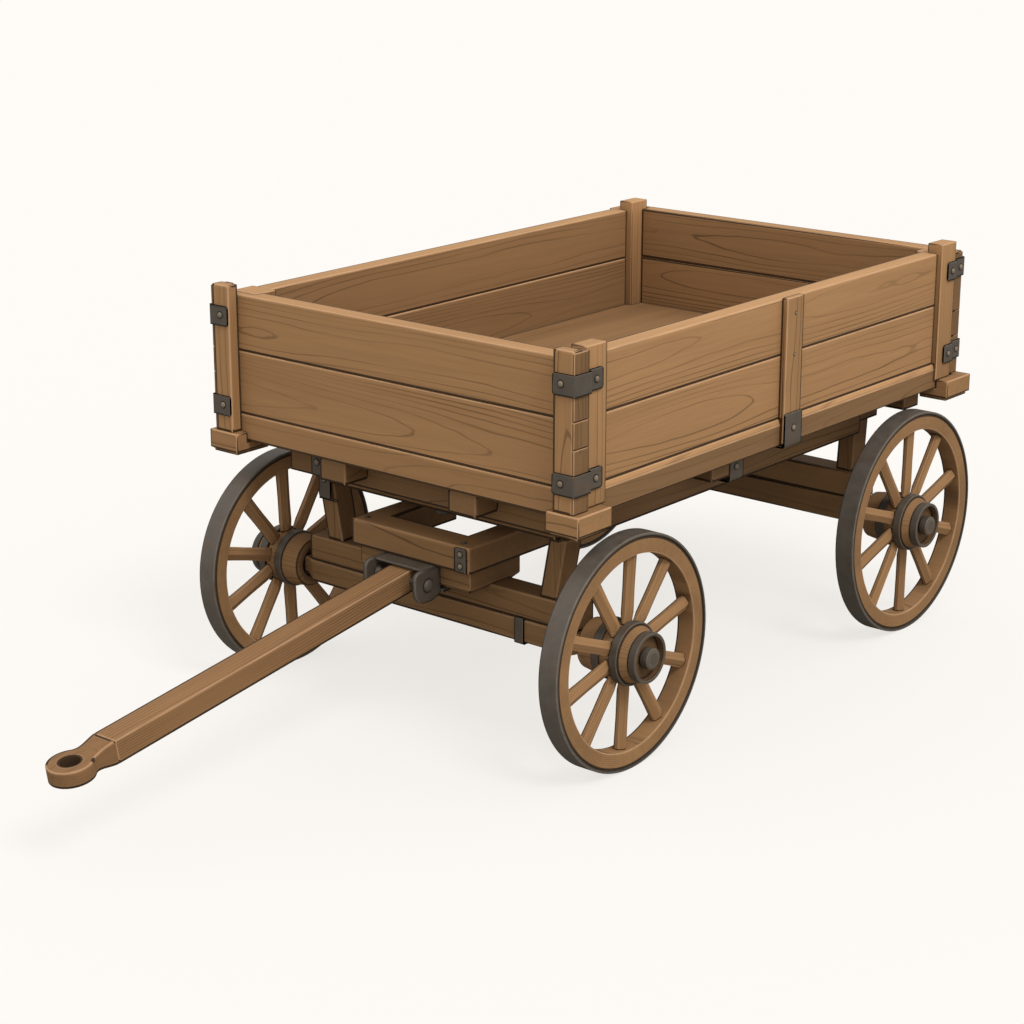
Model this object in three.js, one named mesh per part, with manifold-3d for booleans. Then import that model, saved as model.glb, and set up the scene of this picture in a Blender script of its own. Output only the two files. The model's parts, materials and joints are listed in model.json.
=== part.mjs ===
// Wooden four-wheel garden cart: a plank box on a fixed rear axle and a steering front truck with a tow bar.
// Millimetres. +X points forward to the tow bar, +Y to the cart's left side, +Z up; the ground is z = 0.
// While the pieces are made, x = 0 is the outer face of the box's front wall and y = 0 the middle of the
// cart. At the end everything moves along X, so that the origin lies under the middle of the whole cart.

import * as THREE from "three";
import { mergeVertices } from "three/addons/utils/BufferGeometryUtils.js";
import Module from "manifold-3d";

const wasm = await Module();
wasm.setup();

// Driving dimensions: gaps
const seat = 0.3; // between two pieces that rest on each other
const runningGap = 0.6; // radial, round a shaft that turns
const overrun = 2; // how far a cutter passes the face that it opens

// Driving dimensions: the box
const boxLength = 910; // between the outer faces of the front and rear boards
const boxWidth = 600; // between the outer faces of the side boards
const boardThickness = 28;
const lowerBoardHeight = 88;
const upperBoardHeight = 78;
const floorThickness = 12;
const sillHeight = 37;
const sillThickness = 45;
const sillProud = 3; // how far a side sill stands out past the side boards
const sillBevelHeight = 7;

// Driving dimensions: posts, blocks and stakes
const postAboveBoards = 14;
const endPostWidth = 33;
const endPostThickness = 18;
const frontPostOverhang = 14; // past the side boards' outer face
const rearPostOverhang = 1;
const rearPostDrop = 5; // the rear wall's posts end below the top of its boards
const sidePostLength = 40;
const sidePostSetback = 14; // from the front boards' outer face
const sidePostProud = 7.5;
const sidePostDepth = 45.5;
const sidePostHeadDepth = 25; // the part of its depth that stands above the boards
const blockEndProud = 21;
const blockSideProud = 24;
const blockEndReach = 47; // how far it runs back along the side
const blockSideReach = 29; // how far it runs in along the front
const blockHeight = 26.2;
const blockDrop = 13.3; // below the sill's underside
const blockPlateThickness = 5;
const blockPlateInset = 4;
const stakeWidth = 40;
const stakeProud = 10;
const leftStakeRise = 2; // above the boards
const rightStakeDrop = 4; // below the top of the boards
const stakeFootRise = 3; // above the sill's underside

// Driving dimensions: joists, bolsters and longerons under the box
const joistWidth = 47;
const joistHeight = 30.7;
const joistPlace = 114.5; // middle of the joist, from the middle of the cart
const joistSetback = 4;
const bolsterHeight = 43.7;
const frontBolsterDepth = 102;
const rearBolsterDepth = 52;
const crossJoistWheelGap = 10.5; // from each end to the wheels' inner faces
const crossJoistWidth = 41;
const crossJoistHeight = 28.7;
const lapHeight = 15; // what a joist keeps where a cross joist laps it
const steeringRoom = 52.5; // from the longerons to the wheels' inner faces
const longeronWidth = 28;
const longeronHeight = 59.7;
const bolsterInset = 3; // from a bolster's end to the longeron's outer face

// Driving dimensions: wheels
const frontWheelRadius = 158;
const rearWheelRadius = 167;
const wheelHeadroom = 22; // from the top of the tallest wheel to the underside of the sills
const wheelTrack = 610; // between the middle planes of the two rims
const tyreWidth = 29;
const tyreThickness = 4.5;
const rimWidth = 27;
const rimHeight = 21.5;
const spokeWidth = 19;
const spokeDepth = 17;
const spokeEdge = 7; // flat side between the two ridges
const spokeCount = 10;
const hubInboard = 52; // from the rim's middle plane
const hubOutboard = 40.5;
const hubEndRadius = 34;
const hubEntryRadius = 20; // recess that the axle's arm enters
const hubEntryDepth = 8;
const hubBarrelRadius = 38;
const hubInnerBandRadius = 40.5;
const hubOuterBandRadius = 42;
const hubBandWidth = 12;
const hubInnerBandSetback = 13; // from the rim's middle plane to the band, inboard
const hubOuterBandSetback = 5; // and outboard
const hubConeRadius = 38.5;
const hubNoseRadius = 32;
const hubNoseBandRadius = 33.5;
const hubNoseBandWidth = 11.5;
const hubRecessRadius = 24.5;
const hubRecessDepth = 8.5;

// Driving dimensions: axles, beds and struts
const frontAxlePlace = 102; // behind the front face
const rearAxleSetback = 121; // ahead of the rear face
const axleShaftRadius = 8;
const axleCapRadius = 15.5;
const axleCapProud = 5.5; // past the hub's nose
const axleInset = 55; // from the rim's middle plane to the end of the beam's taper
const axleDepth = 44;
const axleTaperLength = 18;
const armDepth = 28;
const armHeight = 24;
const armEndGap = 2; // to the bottom of the hub's recess
const frontAxleHeight = 31;
const frontAxleRise = 13; // top of the beam above the wheel's centre
const rearAxleHeight = 36;
const rearAxleRise = 23;
const bedInset = 67; // from the rim's middle plane to the bed's end
const bedDepth = 40;
const frontBedHeight = 36.5;
const rearBedHeight = 40;
const rearBedRecessLength = 128;
const rearBedRecessDepth = 29;
const rearBedShoulder = 12; // run of the slope at each end of the recess
const strutWidth = 28;
const strutDepth = 34;
const frontStrutFootInset = 47; // from the middle of the foot to the bed's end
const rearStrutFootInset = 31;
const frontStrutHeadInset = 31; // from the middle of the head to the longeron's outer face
const rearStrutHeadInset = 27;

// Driving dimensions: the front truck's middle
const turntableInset = 3; // from its end to the longeron's inner face
const turntableThickness = 20;
const kingpinRadius = 8;
const kingpinHeadRadius = 14;
const kingpinHeadHeight = 6.5;
const kingpinNutRadius = 13;
const kingpinNutHeight = 10;
const saddleLength = 196;
const saddleFront = 39; // behind the front face of the box
const saddleDepth = 102;
const saddleHeight = 27;
const saddleLip = 6; // how far it hangs down before and behind the bed
const saddleChamfer = 8;
const houndsWidth = 210;
const houndsFront = 29; // behind the front face of the box
const houndsDepth = 172;
const houndsBeamWidth = 42;
const houndsSideWidth = 38;
const houndsHeight = 36.6;

// Driving dimensions: clevis and drawbar
const pivotPlace = 12.5; // behind the front face of the box
const pivotDrop = 22; // below the hounds' underside
const pinRadius = 5.5;
const pinHeadRadius = 8.5;
const pinHeadHeight = 5;
const pinCollarRadius = 9;
const clevisWidth = 94;
const earThickness = 6;
const earRadius = 24;
const bridgeThickness = 3.4;
const bridgeReach = 6; // ahead of the pivot
const footLength = 30;
const footThickness = 5;
const footOverhang = 3; // past each ear
const drawbarWidth = 38;
const drawbarThickness = 31;
const drawbarLength = 572; // from the pivot to the middle of the eye
const drawbarHeel = 17; // behind the pivot
const drawbarDrop = THREE.MathUtils.degToRad(8.5); // slope of the bar at rest
const eyeRadius = 33;
const eyeHoleRadius = 12.5;
const eyeThickness = 21;
const eyeNeckWidth = 29;
const eyeNeckLength = 22; // from the bar's square end to the narrowest place
const eyeShoulder = 54; // from the middle of the eye back to the bar's square end

// Counts of flats
const rimFlats = 48;
const shaftFlats = 24;
const eyeFlats = 32;

// Turn of each wheel at rest, as the angle of its first spoke from the vertical
const spokePhases = {
  front_left: THREE.MathUtils.degToRad(-3.5),
  front_right: THREE.MathUtils.degToRad(-3),
  rear_left: THREE.MathUtils.degToRad(-0.9),
  rear_right: THREE.MathUtils.degToRad(0),
};

// Shares of the box's length, from the front face to the middle of the piece
const lengthShares = { stake: 0.511, midCrossJoist: 0.377 };

// Heights that follow
const sillBottom = 2 * Math.max(frontWheelRadius, rearWheelRadius) + wheelHeadroom;
const sillTop = sillBottom + sillHeight;
const lowerBoardBottom = sillTop + seat;
const upperBoardBottom = lowerBoardBottom + lowerBoardHeight + seat;
const boardTop = upperBoardBottom + upperBoardHeight;
const postTop = boardTop + postAboveBoards;
const blockTop = sillBottom - blockDrop + blockHeight;
const underframeTop = sillBottom - seat;
const joistBottom = underframeTop - joistHeight;
const crossJoistBottom = underframeTop - crossJoistHeight;
const lapTop = joistBottom + lapHeight;
const bolsterBottom = underframeTop - bolsterHeight;
const turntableTop = bolsterBottom - seat;
const turntableBottom = turntableTop - turntableThickness;
const frontAxleTop = frontWheelRadius + frontAxleRise;
const frontBedTop = frontAxleTop + seat + frontBedHeight;
const rearAxleTop = rearWheelRadius + rearAxleRise;
const rearBedTop = rearAxleTop + seat + rearBedHeight;
const saddleTop = frontBedTop + seat + saddleHeight;
const houndsBottom = saddleTop + seat;
const pivotHeight = houndsBottom - pivotDrop;

// Places along and across the cart that follow
const halfWidth = boxWidth / 2;
const halfTrack = wheelTrack / 2;
const wheelInner = halfTrack - tyreWidth / 2;
const longeronOuter = wheelInner - steeringRoom;
const longeronInner = longeronOuter - longeronWidth;
const bolsterReach = longeronOuter - bolsterInset;
const bedReach = halfTrack - bedInset;
const rearAxlePlace = boxLength - rearAxleSetback;
const stakePlace = boxLength * lengthShares.stake;
const midCrossJoistPlace = boxLength * lengthShares.midCrossJoist;
const sidePostOuter = halfWidth + sidePostProud;
const sidePostInner = sidePostOuter - sidePostDepth;
const sideSillOuter = halfWidth + sillProud;
const sidePostBack = sidePostSetback + sidePostLength;
const frontBolsterFront = sillThickness + seat;
const frontBolsterBack = frontBolsterFront + frontBolsterDepth;
const rearBolsterFront = rearAxlePlace - rearBolsterDepth / 2;
const rearBolsterBack = rearBolsterFront + rearBolsterDepth;
const rearCrossJoistPlace = rearBolsterBack + seat + crossJoistWidth / 2;
const crossJoistPlaces = [midCrossJoistPlace, rearCrossJoistPlace];

// Materials
function material(color, roughness, metalness = 0) {
  return new THREE.MeshStandardMaterial({ color, roughness, metalness });
}
const sideWood = material(0x9d7752, 0.75);
const frontWood = material(0x8c6846, 0.75);
const floorWood = material(0x957452, 0.8);
const frameWood = material(0x62482e, 0.8);
const truckWood = material(0x6b5034, 0.8);
const wheelWood = material(0x8d6a48, 0.75);
const barWood = material(0x9a7550, 0.75);
const iron = material(0x4a443b, 0.55, 0.8);
const tyreIron = material(0x5c554c, 0.5, 0.8);

// Solids and their joins
function solid(geometry) {
  const bare = geometry.index ? geometry.toNonIndexed() : geometry.clone();
  bare.deleteAttribute("normal");
  bare.deleteAttribute("uv");
  const merged = mergeVertices(bare);
  return new wasm.Manifold(
    new wasm.Mesh({
      numProp: 3,
      vertProperties: merged.attributes.position.array,
      triVerts: new Uint32Array(merged.index.array),
    }),
  );
}

function geometryOf(manifold) {
  const found = manifold.getMesh();
  const geometry = new THREE.BufferGeometry();
  geometry.setAttribute("position", new THREE.BufferAttribute(new Float32Array(found.vertProperties), 3));
  geometry.setIndex(new THREE.BufferAttribute(new Uint32Array(found.triVerts), 1));
  const flat = geometry.toNonIndexed();
  flat.computeVertexNormals();
  return flat;
}

const join = (first, ...rest) => geometryOf(rest.reduce((sum, g) => sum.add(solid(g)), solid(first)));
const cut = (body, ...tools) => geometryOf(tools.reduce((sum, g) => sum.subtract(solid(g)), solid(body)));
const common = (first, second) => geometryOf(solid(first).intersect(solid(second)));

// Shapes: each range is [low, high]
function box([x0, x1], [y0, y1], [z0, z1]) {
  const geometry = new THREE.BoxGeometry(x1 - x0, y1 - y0, z1 - z0);
  return geometry.translate((x0 + x1) / 2, (y0 + y1) / 2, (z0 + z1) / 2);
}

const along = {
  x: [new THREE.Vector3(0, 1, 0), new THREE.Vector3(0, 0, 1), new THREE.Vector3(1, 0, 0)],
  y: [new THREE.Vector3(0, 0, 1), new THREE.Vector3(1, 0, 0), new THREE.Vector3(0, 1, 0)],
  z: [new THREE.Vector3(1, 0, 0), new THREE.Vector3(0, 1, 0), new THREE.Vector3(0, 0, 1)],
};

// An outline drawn in the plane across an axis and pushed along it from low to high.
// Its points are [y, z] for axis x, [z, x] for axis y and [x, y] for axis z.
function pushed(outline, axis, [low, high]) {
  const shape = new THREE.Shape(outline.map((point) => new THREE.Vector2(...point)));
  const geometry = new THREE.ExtrudeGeometry(shape, { depth: high - low, bevelEnabled: false });
  geometry.translate(0, 0, low);
  return geometry.applyMatrix4(new THREE.Matrix4().makeBasis(...along[axis]));
}

// Points of an arc in the plane of an outline, from one angle to another.
function arc(first, second, radius, from, to, flats = shaftFlats / 2) {
  return Array.from({ length: flats + 1 }, (_, i) => {
    const angle = from + ((to - from) * i) / flats;
    return [first + radius * Math.cos(angle), second + radius * Math.sin(angle)];
  });
}

// A profile of [radius, height] points turned round the Y axis.
// It starts and ends on the axis, or else its ends are joined.
function turned(profile, flats) {
  const closed = profile[0][0] === 0 ? profile : [...profile, profile[0]];
  return new THREE.LatheGeometry(
    closed.map((point) => new THREE.Vector2(...point)),
    flats,
  );
}

function rod(radius, [low, high]) {
  return turned([[0, low], [radius, low], [radius, high], [0, high]], shaftFlats);
}

function standingRod(radius, range) {
  return rod(radius, range).rotateX(Math.PI / 2);
}

// Groups: the rear end of the box mirrors its front end, in the middle of the box's length.
const cart = new THREE.Group();
const frontEnd = new THREE.Group();
const rearEnd = new THREE.Group();
rearEnd.position.x = -boxLength;
rearEnd.scale.x = -1;
const rearGear = new THREE.Group();
rearGear.position.x = -rearAxlePlace;
const truck = new THREE.Group();
truck.position.x = -frontAxlePlace;
const drawbarHinge = new THREE.Group();
drawbarHinge.position.set(-pivotPlace, 0, pivotHeight);
drawbarHinge.rotation.y = drawbarDrop;
cart.add(frontEnd, rearEnd, rearGear, truck, drawbarHinge);

function place(group, name, geometry, finish) {
  const mesh = new THREE.Mesh(geometry, finish);
  mesh.name = name;
  group.add(mesh);
  return mesh;
}

// Places a piece of the left side, and its mirror image on the right side.
function placeSides(group, name, geometry, finish) {
  place(group, `${name}_left`, geometry, finish);
  place(group, `${name}_right`, geometry, finish).scale.y = -1;
}

// Places a piece of the box's front end, and its mirror image at the rear end.
function placeEnds(name, geometry, finish) {
  place(frontEnd, `front_${name}`, geometry, finish);
  place(rearEnd, `rear_${name}`, geometry, finish);
}

// Places a piece of the front left corner at all four corners of the box.
function placeCorners(name, geometry, finish) {
  placeSides(frontEnd, `${name}_front`, geometry, finish);
  placeSides(rearEnd, `${name}_rear`, geometry, finish);
}

// Sills
function addSills() {
  const rise = [sillBottom, sillTop];
  placeEnds("sill", box([-sillThickness, 0], [-halfWidth, halfWidth], rise), frontWood);
  const inner = sideSillOuter - sillThickness;
  const sideSill = pushed(
    [
      [inner, sillBottom],
      [sideSillOuter, sillBottom],
      [sideSillOuter, sillTop - sillBevelHeight],
      [halfWidth + seat, sillTop],
      [inner, sillTop],
    ],
    "x",
    [sillThickness + seat - boxLength, -sillThickness - seat],
  );
  placeSides(cart, "side_sill", sideSill, sideWood);
}

// Boards: the end boards have a tongue at each end that passes in front of the side posts.
function addBoards() {
  const tongue = sidePostSetback - seat;
  const shoulder = sidePostInner - seat;
  const endOutline = [
    [-boardThickness, -shoulder],
    [-tongue, -shoulder],
    [-tongue, -halfWidth],
    [0, -halfWidth],
    [0, halfWidth],
    [-tongue, halfWidth],
    [-tongue, shoulder],
    [-boardThickness, shoulder],
  ];
  const sideRun = [sidePostBack + seat - boxLength, -sidePostBack - seat];
  const rows = {
    lower: [lowerBoardBottom, lowerBoardBottom + lowerBoardHeight],
    upper: [upperBoardBottom, boardTop],
  };
  for (const [row, rise] of Object.entries(rows)) {
    placeEnds(`board_${row}`, pushed(endOutline, "z", rise), frontWood);
    const sideBoard = box(sideRun, [halfWidth - boardThickness, halfWidth], rise);
    placeSides(cart, `side_board_${row}`, sideBoard, sideWood);
  }
}

// Floor: it lies on the inner ledge of the sills and goes round the side posts.
function addFloor() {
  const front = -boardThickness - seat;
  const rear = -boxLength - front;
  const side = halfWidth - boardThickness - seat;
  const notchFront = -sidePostBack - seat;
  const notchRear = -boxLength - notchFront;
  const notchSide = sidePostInner - seat;
  const half = [
    [front, notchSide],
    [notchFront, notchSide],
    [notchFront, side],
    [notchRear, side],
    [notchRear, notchSide],
    [rear, notchSide],
  ];
  const outline = [...half, ...half.map(([x, y]) => [x, -y]).reverse()];
  place(cart, "floor", pushed(outline, "z", [sillTop + seat, sillTop + seat + floorThickness]), floorWood);
}

// Corner blocks: an L round the corner of the sills, closed below.
function addCornerBlocks() {
  const inner = halfWidth - blockSideReach;
  const outer = halfWidth + blockSideProud;
  const bottom = sillBottom - blockDrop;
  const block = box([-blockEndReach, blockEndProud], [inner, outer], [bottom, blockTop]);
  const sillRoom = box(
    [-blockEndReach - overrun, seat],
    [inner - overrun, sideSillOuter + seat],
    [sillBottom - seat, blockTop + overrun],
  );
  const plate = box(
    [-blockEndReach + blockPlateInset, blockEndProud - blockPlateInset],
    [inner + blockPlateInset, outer - blockPlateInset],
    [bottom - blockPlateThickness, bottom + blockPlateThickness],
  );
  placeCorners("corner_block", join(cut(block, sillRoom), plate), frontWood);
}

// Posts: the end posts stand before the end boards, the side posts go right through the side wall.
function endPost(overhang, top) {
  const outer = halfWidth + overhang;
  return box([seat, seat + endPostThickness], [outer - endPostWidth, outer], [blockTop + seat, top]);
}

// The head is the range across the cart that stands above the boards; a post without one is level with them.
function sidePost(head) {
  const run = [-sidePostBack, -sidePostSetback];
  const foot = blockTop + seat;
  const body = pushed(
    [
      [sidePostInner, sillTop + seat],
      [sideSillOuter + seat, sillTop + seat],
      [sideSillOuter + seat, foot],
      [sidePostOuter, foot],
      [sidePostOuter, boardTop],
      [sidePostInner, boardTop],
    ],
    "x",
    run,
  );
  return head ? join(body, box(run, head, [boardTop - overrun, postTop])) : body;
}

function addPosts() {
  placeSides(frontEnd, "end_post_front", endPost(frontPostOverhang, postTop), frontWood);
  placeSides(rearEnd, "end_post_rear", endPost(rearPostOverhang, boardTop - rearPostDrop), frontWood);
  const outerHead = [sidePostOuter - sidePostHeadDepth, sidePostOuter];
  const innerHead = [sidePostInner, sidePostInner + sidePostHeadDepth];
  place(frontEnd, "side_post_front_left", sidePost(outerHead), sideWood);
  place(frontEnd, "side_post_front_right", sidePost(), sideWood).scale.y = -1;
  place(rearEnd, "side_post_rear_left", sidePost(outerHead), sideWood);
  place(rearEnd, "side_post_rear_right", sidePost(innerHead), sideWood).scale.y = -1;
}

// Side stakes: notched over the sill, with the foot just above its underside.
function stake(top) {
  return pushed(
    [
      [halfWidth + seat, sillTop + seat],
      [sideSillOuter + seat, sillTop + seat],
      [sideSillOuter + seat, sillBottom + stakeFootRise],
      [halfWidth + stakeProud, sillBottom + stakeFootRise],
      [halfWidth + stakeProud, top],
      [halfWidth + seat, top],
    ],
    "x",
    [-stakePlace - stakeWidth / 2, -stakePlace + stakeWidth / 2],
  );
}

function addStakes() {
  place(cart, "side_stake_left", stake(boardTop + leftStakeRise), sideWood);
  place(cart, "side_stake_right", stake(boardTop - rightStakeDrop), sideWood).scale.y = -1;
}

// Joists run the whole length; the cross joists lie in laps cut from their tops.
function addJoists() {
  const outline = [
    [joistBottom, -joistSetback],
    [joistBottom, joistSetback - boxLength],
    [underframeTop, joistSetback - boxLength],
  ];
  for (const middle of [...crossJoistPlaces].reverse()) {
    const half = crossJoistWidth / 2 + seat;
    outline.push(
      [underframeTop, -middle - half],
      [lapTop, -middle - half],
      [lapTop, -middle + half],
      [underframeTop, -middle + half],
    );
  }
  outline.push([underframeTop, -joistSetback]);
  const joist = pushed(outline, "y", [joistPlace - joistWidth / 2, joistPlace + joistWidth / 2]);
  placeSides(cart, "joist", joist, frameWood);
}

// Outline of a beam across the cart with a notch for each long joist, as [y, z] points.
function notchedBeam(reach, bottom, top, notchFrom, notchTo) {
  const half = joistWidth / 2 + seat;
  const notch = (middle) => [
    [middle - half, notchFrom],
    [middle - half, notchTo],
    [middle + half, notchTo],
    [middle + half, notchFrom],
  ];
  const floor = notchFrom === bottom ? [...notch(-joistPlace), ...notch(joistPlace)] : [];
  const roof = notchFrom === top ? [...notch(-joistPlace), ...notch(joistPlace)].reverse() : [];
  return [[-reach, bottom], ...floor, [reach, bottom], [reach, top], ...roof, [-reach, top]];
}

function addCrossJoists() {
  const bottom = crossJoistBottom;
  const outline = notchedBeam(wheelInner - crossJoistWheelGap, bottom, underframeTop, bottom, lapTop + seat);
  const names = ["mid_cross_joist", "rear_cross_joist"];
  crossJoistPlaces.forEach((middle, i) => {
    const run = [-middle - crossJoistWidth / 2, -middle + crossJoistWidth / 2];
    place(cart, names[i], pushed(outline, "x", run), frameWood);
  });
}

function addBolsters() {
  const outline = notchedBeam(bolsterReach, bolsterBottom, underframeTop, underframeTop, joistBottom - seat);
  const front = pushed(outline, "x", [-frontBolsterBack, -frontBolsterFront]);
  const hole = standingRod(kingpinRadius + seat, [bolsterBottom - overrun, underframeTop + overrun]);
  place(cart, "front_bolster", cut(front, hole.translate(-frontAxlePlace, 0, 0)), frameWood);
  place(cart, "rear_bolster", pushed(outline, "x", [-rearBolsterBack, -rearBolsterFront]), frameWood);
}

function addLongerons() {
  const bottom = underframeTop - longeronHeight;
  const front = -frontBolsterBack - seat;
  const rear = -rearBolsterFront + seat;
  const half = crossJoistWidth / 2 + seat;
  const longeron = pushed(
    [
      [bottom, front],
      [bottom, rear],
      [underframeTop, rear],
      [underframeTop, -midCrossJoistPlace - half],
      [crossJoistBottom - seat, -midCrossJoistPlace - half],
      [crossJoistBottom - seat, -midCrossJoistPlace + half],
      [underframeTop, -midCrossJoistPlace + half],
      [underframeTop, front],
    ],
    "y",
    [longeronInner, longeronOuter],
  );
  placeSides(cart, "longeron", longeron, frameWood);
}

// Axles are made with their centre line at x = 0. This is the outline of a beam that tapers to the arms
// at its ends, as [across, along] points.
function taperedOutline(low, high, armLow, armHigh) {
  const armEnd = halfTrack - hubInboard + hubEntryDepth - armEndGap;
  const taperEnd = halfTrack - axleInset;
  const taperStart = taperEnd - axleTaperLength;
  return [
    [low, -taperStart],
    [low, taperStart],
    [armLow, taperEnd],
    [armLow, armEnd],
    [armHigh, armEnd],
    [armHigh, taperEnd],
    [high, taperStart],
    [high, -taperStart],
    [armHigh, -taperEnd],
    [armHigh, -armEnd],
    [armLow, -armEnd],
    [armLow, -taperEnd],
  ];
}

function axleBeam(top, height, shaftHeight) {
  const [deep, armDeep] = [axleDepth / 2, armDepth / 2];
  const fromAbove = taperedOutline(-deep, deep, -armDeep, armDeep);
  const armLow = shaftHeight - armHeight / 2;
  const fromAhead = taperedOutline(top - height, top, armLow, armLow + armHeight);
  const beam = common(
    pushed(fromAbove, "z", [top - height - overrun, top + overrun]),
    pushed(
      fromAhead.map(([z, y]) => [y, z]),
      "x",
      [-deep - overrun, deep + overrun],
    ),
  );
  const bore = rod(axleShaftRadius + seat, [-halfTrack, halfTrack]);
  return cut(beam, bore.translate(0, 0, shaftHeight));
}

function axleShaft(height) {
  const noseEnd = halfTrack + hubOutboard;
  const capEnd = noseEnd + axleCapProud;
  const capStart = noseEnd - hubRecessDepth + runningGap;
  const profile = [
    [0, -capEnd],
    [axleCapRadius, -capEnd],
    [axleCapRadius, -capStart],
    [axleShaftRadius, -capStart],
    [axleShaftRadius, capStart],
    [axleCapRadius, capStart],
    [axleCapRadius, capEnd],
    [0, capEnd],
  ];
  return turned(profile, shaftFlats).translate(0, 0, height);
}

// A leaning post as a parallelogram of [y, z] points, pushed along the cart.
function strut(foot, head, bottom, top) {
  const half = strutWidth / 2;
  const outline = [
    [foot - half, bottom],
    [foot + half, bottom],
    [head + half, top],
    [head - half, top],
  ];
  return pushed(outline, "x", [-strutDepth / 2, strutDepth / 2]);
}

function addRearGear() {
  place(rearGear, "rear_axle", axleBeam(rearAxleTop, rearAxleHeight, rearWheelRadius), frameWood);
  place(rearGear, "rear_axle_shaft", axleShaft(rearWheelRadius), iron);
  const recess = rearBedRecessLength / 2;
  const bottom = rearAxleTop + seat;
  const bed = pushed(
    [
      [-bedReach, bottom],
      [bedReach, bottom],
      [bedReach, rearBedTop],
      [recess, rearBedTop],
      [recess - rearBedShoulder, rearBedTop - rearBedRecessDepth],
      [rearBedShoulder - recess, rearBedTop - rearBedRecessDepth],
      [-recess, rearBedTop],
      [-bedReach, rearBedTop],
    ],
    "x",
    [-bedDepth / 2, bedDepth / 2],
  );
  place(rearGear, "rear_axle_bed", bed, frameWood);
  const foot = bedReach - rearStrutFootInset;
  const head = longeronOuter - rearStrutHeadInset;
  const post = strut(foot, head, rearBedTop + seat, bolsterBottom - seat);
  placeSides(rearGear, "rear_strut", post, frameWood);
}

// Front truck: everything that steers, made with the kingpin at x = 0.
function addTruckFrame() {
  place(truck, "front_axle", axleBeam(frontAxleTop, frontAxleHeight, frontWheelRadius), truckWood);
  place(truck, "front_axle_shaft", axleShaft(frontWheelRadius), iron);
  const bed = box([-bedDepth / 2, bedDepth / 2], [-bedReach, bedReach], [frontAxleTop + seat, frontBedTop]);
  place(truck, "front_axle_bed", bed, truckWood);
  const foot = bedReach - frontStrutFootInset;
  const head = longeronOuter - frontStrutHeadInset;
  const post = strut(foot, head, frontBedTop + seat, turntableBottom - seat);
  placeSides(truck, "front_strut", post, truckWood);
  const reach = longeronInner - turntableInset;
  const turntable = box([-axleDepth / 2, axleDepth / 2], [-reach, reach], [turntableBottom, turntableTop]);
  const hole = standingRod(kingpinRadius + runningGap, [turntableBottom - overrun, turntableTop + overrun]);
  place(truck, "turntable_beam", cut(turntable, hole), truckWood);
}

function addKingpin() {
  const headTop = turntableBottom - seat;
  const nutBottom = underframeTop + seat;
  const profile = [
    [0, headTop - kingpinHeadHeight],
    [kingpinHeadRadius, headTop - kingpinHeadHeight],
    [kingpinHeadRadius, headTop],
    [kingpinRadius, headTop],
    [kingpinRadius, nutBottom],
    [kingpinNutRadius, nutBottom],
    [kingpinNutRadius, nutBottom + kingpinNutHeight],
    [0, nutBottom + kingpinNutHeight],
  ];
  const pin = turned(profile, shaftFlats).rotateX(Math.PI / 2);
  place(cart, "kingpin", pin.translate(-frontAxlePlace, 0, 0), iron);
}

// The saddle block sits astride the bed; its lower edges are chamfered all round.
function addSaddle() {
  const front = frontAxlePlace - saddleFront;
  const back = front - saddleDepth;
  const bottom = frontBedTop - saddleLip;
  const notch = bedDepth / 2 + seat;
  const lengthwise = pushed(
    [
      [saddleTop, back],
      [bottom + saddleChamfer, back],
      [bottom, back + saddleChamfer],
      [bottom, -notch],
      [frontBedTop + seat, -notch],
      [frontBedTop + seat, notch],
      [bottom, notch],
      [bottom, front - saddleChamfer],
      [bottom + saddleChamfer, front],
      [saddleTop, front],
    ],
    "y",
    [-saddleLength / 2, saddleLength / 2],
  );
  const reach = saddleLength / 2;
  const crosswise = pushed(
    [
      [-reach, saddleTop],
      [-reach, bottom + saddleChamfer],
      [saddleChamfer - reach, bottom],
      [reach - saddleChamfer, bottom],
      [reach, bottom + saddleChamfer],
      [reach, saddleTop],
    ],
    "x",
    [back, front],
  );
  place(truck, "saddle_block", common(lengthwise, crosswise), truckWood);
}

// Hounds: a front beam with a side beam running back from each end.
function addHounds() {
  const front = frontAxlePlace - houndsFront;
  const back = front - houndsDepth;
  const outer = houndsWidth / 2;
  const inner = outer - houndsSideWidth;
  const outline = [
    [front, -outer],
    [front, outer],
    [back, outer],
    [back, inner],
    [front - houndsBeamWidth, inner],
    [front - houndsBeamWidth, -inner],
    [back, -inner],
    [back, -outer],
  ];
  place(truck, "hounds", pushed(outline, "z", [houndsBottom, houndsBottom + houndsHeight]), truckWood);
}

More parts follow.
